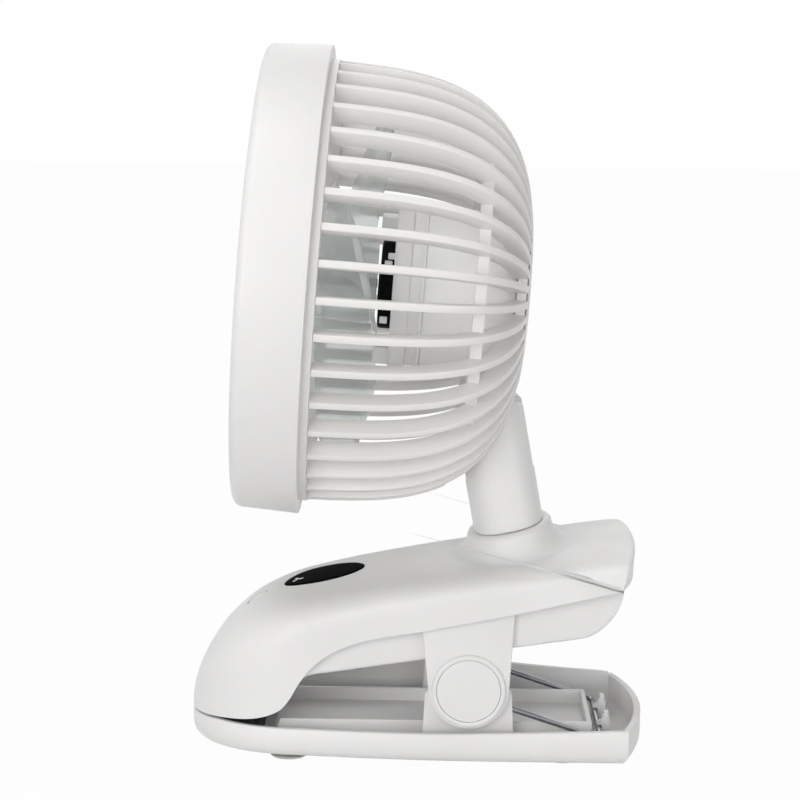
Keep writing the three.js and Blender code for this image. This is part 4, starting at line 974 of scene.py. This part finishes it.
def make_cover():
    shape = gather(belly_skin(), mirrored(lug_shape()))
    piece("belly_cover", shape, BASE, SHELL, "base", "lower_cover")
    hinge = Matrix.Translation((0, HINGE_Y, HINGE_Z)) @ TO_SIDE
    flip = Matrix.Scale(-1, 4, (1, 0, 0))
    profile = [(0, 32), (10.95, 32), (10.95, 32.95), (10.87, 33.12), (10.7, 33.22), (10.4, 33.25),
               (0, 33.3)]
    for name, side in (("hinge_cap_right", Matrix()), ("hinge_cap_left", flip)):
        bm = put(turned(profile, 96), side @ hinge)
        bmesh.ops.recalc_face_normals(bm, faces=bm.faces)
        piece(name + "_disc", bm, BASE, SHELL, "base", name)


# ---- Neck ---------------------------------------------------------------------------------


NECK_WIDENING = 1.465
NECK_POWER = 0.8
NECK_SHIFT = -0.8


def neck_oval(r, t, turn):
    """A point of the neck's squarish oval, which drifts back a little on its way up."""
    across, along = math.cos(turn), math.sin(turn)
    return Vector((r * NECK_WIDENING * math.copysign(abs(across) ** NECK_POWER, across),
                   r * math.copysign(abs(along) ** NECK_POWER, along) + NECK_SHIFT + 0.036 * t, t))


def make_neck():
    levels = [(0, 0), (11.8, 0), (12.2, 0.1), (12.3, 0.4)]
    levels += [(12.3, 0.4 + 43.2 * k / 20) for k in range(1, 21)]
    levels += [(12.2, 43.85), (11.9, 44), (0, 44)]

    def place(u, v):
        r, t = levels[round(v * (len(levels) - 1))]
        point = neck_oval(r, t, 2 * math.pi * u)
        point.z *= 1 - 0.0205 * max(abs(point.y) - 9.5, 0)
        return point

    column = skin(bmesh.new(), 96, len(levels) - 1, place)
    tidy(column)
    side = [(-14, 17), (14, 17), (14, 50), (-14, 50)]
    column = carve(column, plate(side, -6.3, 6.3))
    soften(column, 0.5, over=45)
    piece("neck_shell", column, NECK, SHELL, "neck", "neck_column")


# ---- Head ---------------------------------------------------------------------------------

CAGE_R = 75.8
CAGE_A = 73.7
CAGE_TAPER = 2.1
CAGE_POWER = 2 / 3.3
RIBS = 40
RIB_TURN = math.radians(2.1)
RIB_START = 0.004
RIB_END = 0.845
SLOT_HALF = 18.4
BORDER = 2.5


def cage_point(part, inset):
    """Radius and distance back on the cage's outline, moved in by inset."""

    def at(p):
        turn = p * math.pi / 2
        share = math.sin(turn) ** CAGE_POWER
        return Vector(((CAGE_R - CAGE_TAPER * share) * max(math.cos(turn), 0) ** CAGE_POWER,
                       CAGE_A * share))

    here = at(part)
    along = (at(min(part + 1e-3, 1)) - at(max(part - 1e-3, 0))).normalized()
    return here.x - inset * along.y, here.y + inset * along.x


def make_ring():
    profile = [(80.4, 0.5), (80.7, 0.4), (80.8, 0.1), *arc(77, -18.9, 3, 5, -90, 8),
               (74.1, -21.9), (73.7, -21.75), (73.5, -21.4), (73.5, -19.9), (77.4, -19.9),
               (77.6, -2.5), (70.5, -2.5), (70.5, 0.2), (70.8, 0.5)]
    piece("ring_bezel", turned(profile, 192, closed=True), SHROUD, SHELL, "head", "front_ring")


GRILLE_BARS = 24
GRILLE_REACH = 77.1


def grille_bar(k):
    """A slanting bar of the front grille, bowed forward towards the hub."""
    sides = 10

    def place(u, v):
        r = 12 + 63.6 * v
        turn = 2 * math.pi * k / GRILLE_BARS + math.radians(26) * (r / GRILLE_REACH) ** 1.5
        lift = -1.6 * (1 - (r / GRILLE_REACH) ** 2)
        round_turn = 2 * math.pi * u
        side = 0.9 * math.cos(round_turn)
        a = -19.6 + lift + 1.35 + 1.25 * math.sin(round_turn)
        return Vector((r * math.cos(turn) - side * math.sin(turn), a,
                       r * math.sin(turn) + side * math.cos(turn)))

    bm = skin(bmesh.new(), sides, 22, place)
    tidy(bm)
    close(bm)
    return bm


def make_grille():
    rim = turned([(74.2, -19.6), (77.1, -19.6), (77.1, -15.6), (73.8, -15.6), (73.8, -19.2)],
                 144, closed=True)
    hoop = turned(arc(46, -19.3, 0.95, 0, 330, 11), 120, closed=True)
    hub = turned([(0, -21.7), (8, -21.6), (11, -21.4), (13, -20.9), (13.8, -20.2), (14, -19.4),
                  (14, -18.2), (0, -18.2)], 96)
    bars = [grille_bar(k) for k in range(GRILLE_BARS)]
    piece("grille_face", gather(rim, hoop, hub, *bars), SHROUD, CAGE, "head", "front_grille")


def rib_template():
    half, depth, corner = 1.3, 6.5, 0.55
    section = []
    for side, inset, start in ((half, 0, 0), (half, depth, 90), (-half, depth, 180),
                               (-half, 0, 270)):
        middle = (side - math.copysign(corner, side),
                  corner if inset == 0 else depth - corner)
        for k in range(3):
            turn = math.radians(start + 45 * k - 90)
            section.append((middle[0] + corner * math.cos(turn),
                            middle[1] + corner * math.sin(turn)))
    count = len(section)

    def place(u, v):
        side, inset = section[round(u * count) % count]
        part = RIB_START + (RIB_END - RIB_START) * v
        r, a = cage_point(part, inset)
        return Vector((r, max(a, 0.4), side))

    bm = skin(bmesh.new(), count, 30, place)
    tidy(bm)
    mesh = bpy.data.meshes.new("rib")
    bm.to_mesh(mesh)
    bm.free()
    return mesh


def make_cage():
    template = rib_template()
    ribs = []
    for k in range(RIBS):
        turn = 2 * math.pi * k / RIBS + RIB_TURN
        bm = bmesh.new()
        bm.from_mesh(template)
        put(bm, Matrix.Rotation(-turn, 4, "Y"))
        down = turn - 1.5 * math.pi
        if abs(math.sin(down)) < 0.55 and math.cos(down) > 0:
            x_there = 65.8 * abs(math.sin(down))
            if x_there < 19.5:
                plane_co, plane_no = (0, 50.2, 0), (0, 1, 0)
            else:
                sign = 1 if math.sin(down) > 0 else -1
                plane_co, plane_no = (19.6 * sign, 0, 0), (-sign, 0, 0)
            bmesh.ops.bisect_plane(bm, geom=bm.verts[:] + bm.edges[:] + bm.faces[:],
                                   plane_co=plane_co, plane_no=plane_no, clear_outer=True)
        close(bm)
        ribs.append(bm)
    bpy.data.meshes.remove(template)
    hoop = turned([(69.3, 0.3), (76.1, 0.3), (76.2, 0.5), (76.2, 3), (76, 3.3), (69.3, 3.3)],
                  160, closed=True)
    part = 2 / math.pi * math.asin((57.5 / CAGE_A) ** (1 / CAGE_POWER))
    inner_r = cage_point(part, 6.1)[0]
    inner = turned([(inner_r - 2.4, 53.5), (inner_r, 53.5), (inner_r, 57.5),
                    (inner_r - 2.4, 57.5)], 128, closed=True)
    slot_front = carve(soften(inner, 0.4, over=60),
                       plate([(50, -70), (60, -70), (60, -20), (50, -20)],
                             -SLOT_HALF, SLOT_HALF))
    end = turned([(24, 68.4), (31.3, 68.4), (31.3, 71.3), (31.1, 71.6), (24, 71.6)],
                 128, closed=True)
    shape = gather(hoop, slot_front, end, slot_border(), *ribs)
    piece("cage_ribs", shape, SHROUD, CAGE, "head", "rear_cage")


def slot_border():
    """The border round the neck's slot, which follows the cage's outline."""
    bm = bmesh.new()
    section = [(0, 0.35), (1, 0.35), (1, 5.5), (0, 5.5)]

    def edge(place_at, steps):
        def place(u, v):
            across, inset = section[round(u * 4) % 4]
            return place_at(v, across, inset)
        skin(bm, 4, steps, place)

    def along_side(sign):
        def at(v, across, inset):
            part = 0.385 + (0.84 - 0.385) * v
            r, a = cage_point(part, inset)
            x = SLOT_HALF + BORDER * across
            return Vector((sign * x, a, -math.sqrt(max(r * r - x * x, 0))))
        return at

    def along_front(v, across, inset):
        part = 2 / math.pi * math.asin(((48.9 + BORDER * across) / CAGE_A) ** (1 / CAGE_POWER))
        r, a = cage_point(part, inset)
        x = -20.9 + 2 * 20.9 * v
        return Vector((x, a, -math.sqrt(r * r - x * x)))

    edge(along_side(1), 24)
    edge(along_side(-1), 24)
    edge(along_front, 20)
    tidy(bm)
    close(bm)
    return soften(bm, 0.4, over=50)


def make_drum():
    band = turned([(15.6, 26.9), (27.4, 26.9), (28, 27.1), (28.4, 27.7), (28.4, 32.2),
                   (28.2, 32.5), (26.9, 32.7), (26.9, 36.3), (28.2, 36.5), (28.4, 36.8),
                   (28.4, 37.3), (28.2, 37.5), (25, 37.5), (25, 29.3), (15.6, 29.3)],
                  128, closed=True)
    posts = [soften(plate([(21.6, z), (27.4, z), (27.4, z + 6), (21.6, z + 6)], -7, 7), 0.5)
             for z in (18.6, -26.4)]
    band = gather(band, *posts)
    piece("drum_front", band, SHROUD, SHELL, "head", "motor_housing")
    cup = turned([(27.8, 37.2), (27.8, 37.75), (28.2, 37.8), (28.4, 38.1), (28.4, 67.6),
                  (28.1, 68.1), (27.6, 68.3), (0, 68.3), (0, 66.1), (26.2, 66.1), (26.2, 37.2)],
                 128, closed=True)
    outline = [(54, -25.4), *arc(65.9, -51.4, 9, 190, 358, 32), (68.3, -39.4), (68.3, -25.4)]
    tongue = soften(plate(outline, -6, 6), 0.6, over=50)
    piece("drum_rear", gather(cup, tongue), SHROUD, SHELL, "head", "rear_housing")
    disc = turned([(0, 68.4), (23.7, 68.4), (23.7, 71.9), (30.8, 71.9), (31.15, 72),
                   (31.25, 72.25), (30.9, 72.5), (29, 72.8), (26, 73.1), (22, 73.35),
                   (17, 73.5), (9, 73.6), (0, 73.6)], 144)
    piece("cap_disc", disc, SHROUD, SHELL, "head", "rear_cap")


def make_motor():
    can = turned([(0, 21.8), (6, 21.8), (6.3, 22.3), (14.2, 22.3), (15, 22.6), (15.3, 23.3),
                  (15.3, 45), (0, 45)], 96)
    piece("motor_can", can, HEAD, DARK, "head", "motor")
    terminals = [soften(plate([(y, z), (y + 2.6, z), (y + 2.6, z + deep), (y, z + deep)],
                              13.6, 16.2), 0.3)
                 for y, z, deep in ((23.6, 6.2, 3.6), (24.6, 10.4, 2), (23.2, -11.6, 2.2))]
    piece("motor_terminals", gather(*terminals), HEAD, ICON, "head")


BLADES = 3


def blade_point(k, across, side, part):
    """A point of blade k: across its width, on one side of it, part of the way to its tip."""
    root, tip = 12.9, 66.0
    r = root + (tip - root) * math.sin(part * math.pi / 2)
    out = (r - root) / (tip - root)
    shut = math.sqrt(max(1 - (max(0, (out - 0.62) / 0.38)) ** 2.4 * 0.999, 0))
    spread = math.radians(29) * (0.92 + 0.08 * out) * shut
    middle = math.radians(16) + 2 * math.pi * k / BLADES - math.radians(5) * (1 - shut)
    bend = 1.6 * (1 - across ** 2) * (0.4 + out)
    thick = side * 0.75 * (1 - 0.5 * out) * math.sqrt(max(1 - across ** 4, 0))
    turn = middle + across * spread
    a = 9.5 + 6 * out - across * 9.5 * shut + bend + thick
    return Vector((r * math.cos(turn), a, r * math.sin(turn)))


def make_impeller():
    hub = turned([(0, -8.5), (4, -8.3), (7.5, -7.3), (10.4, -5.4), (12.4, -2.6), (13.6, 0.8),
                  (14, 4), (14, 21.2), (12.2, 21.2), (12.2, 3), (4.2, -1.5), (4.2, 21.2),
                  (1.8, 21.2), (1.8, -5.3), (0, -5.3)], 96)
    blades = []
    for k in range(BLADES):
        def place(u, v, k=k):
            around = 4 * u
            across = 1 - around if around <= 2 else around - 3
            side = 1 if around <= 2 else -1
            across = math.sin(across * math.pi / 2)
            return blade_point(k, across, side, v)
        bm = skin(bmesh.new(), 48, 40, place)
        bmesh.ops.remove_doubles(bm, verts=bm.verts, dist=1e-3)
        close(bm)
        blades.append(bm)
    piece("impeller_blades", gather(hub, *blades), HEAD, SMOKE, "impeller", "impeller")


make_lower_jaw()
make_pads()
make_feet()
make_spring()
make_housing()
make_cover()
make_neck()
make_ring()
make_grille()
make_cage()
make_drum()
make_motor()
make_impeller()
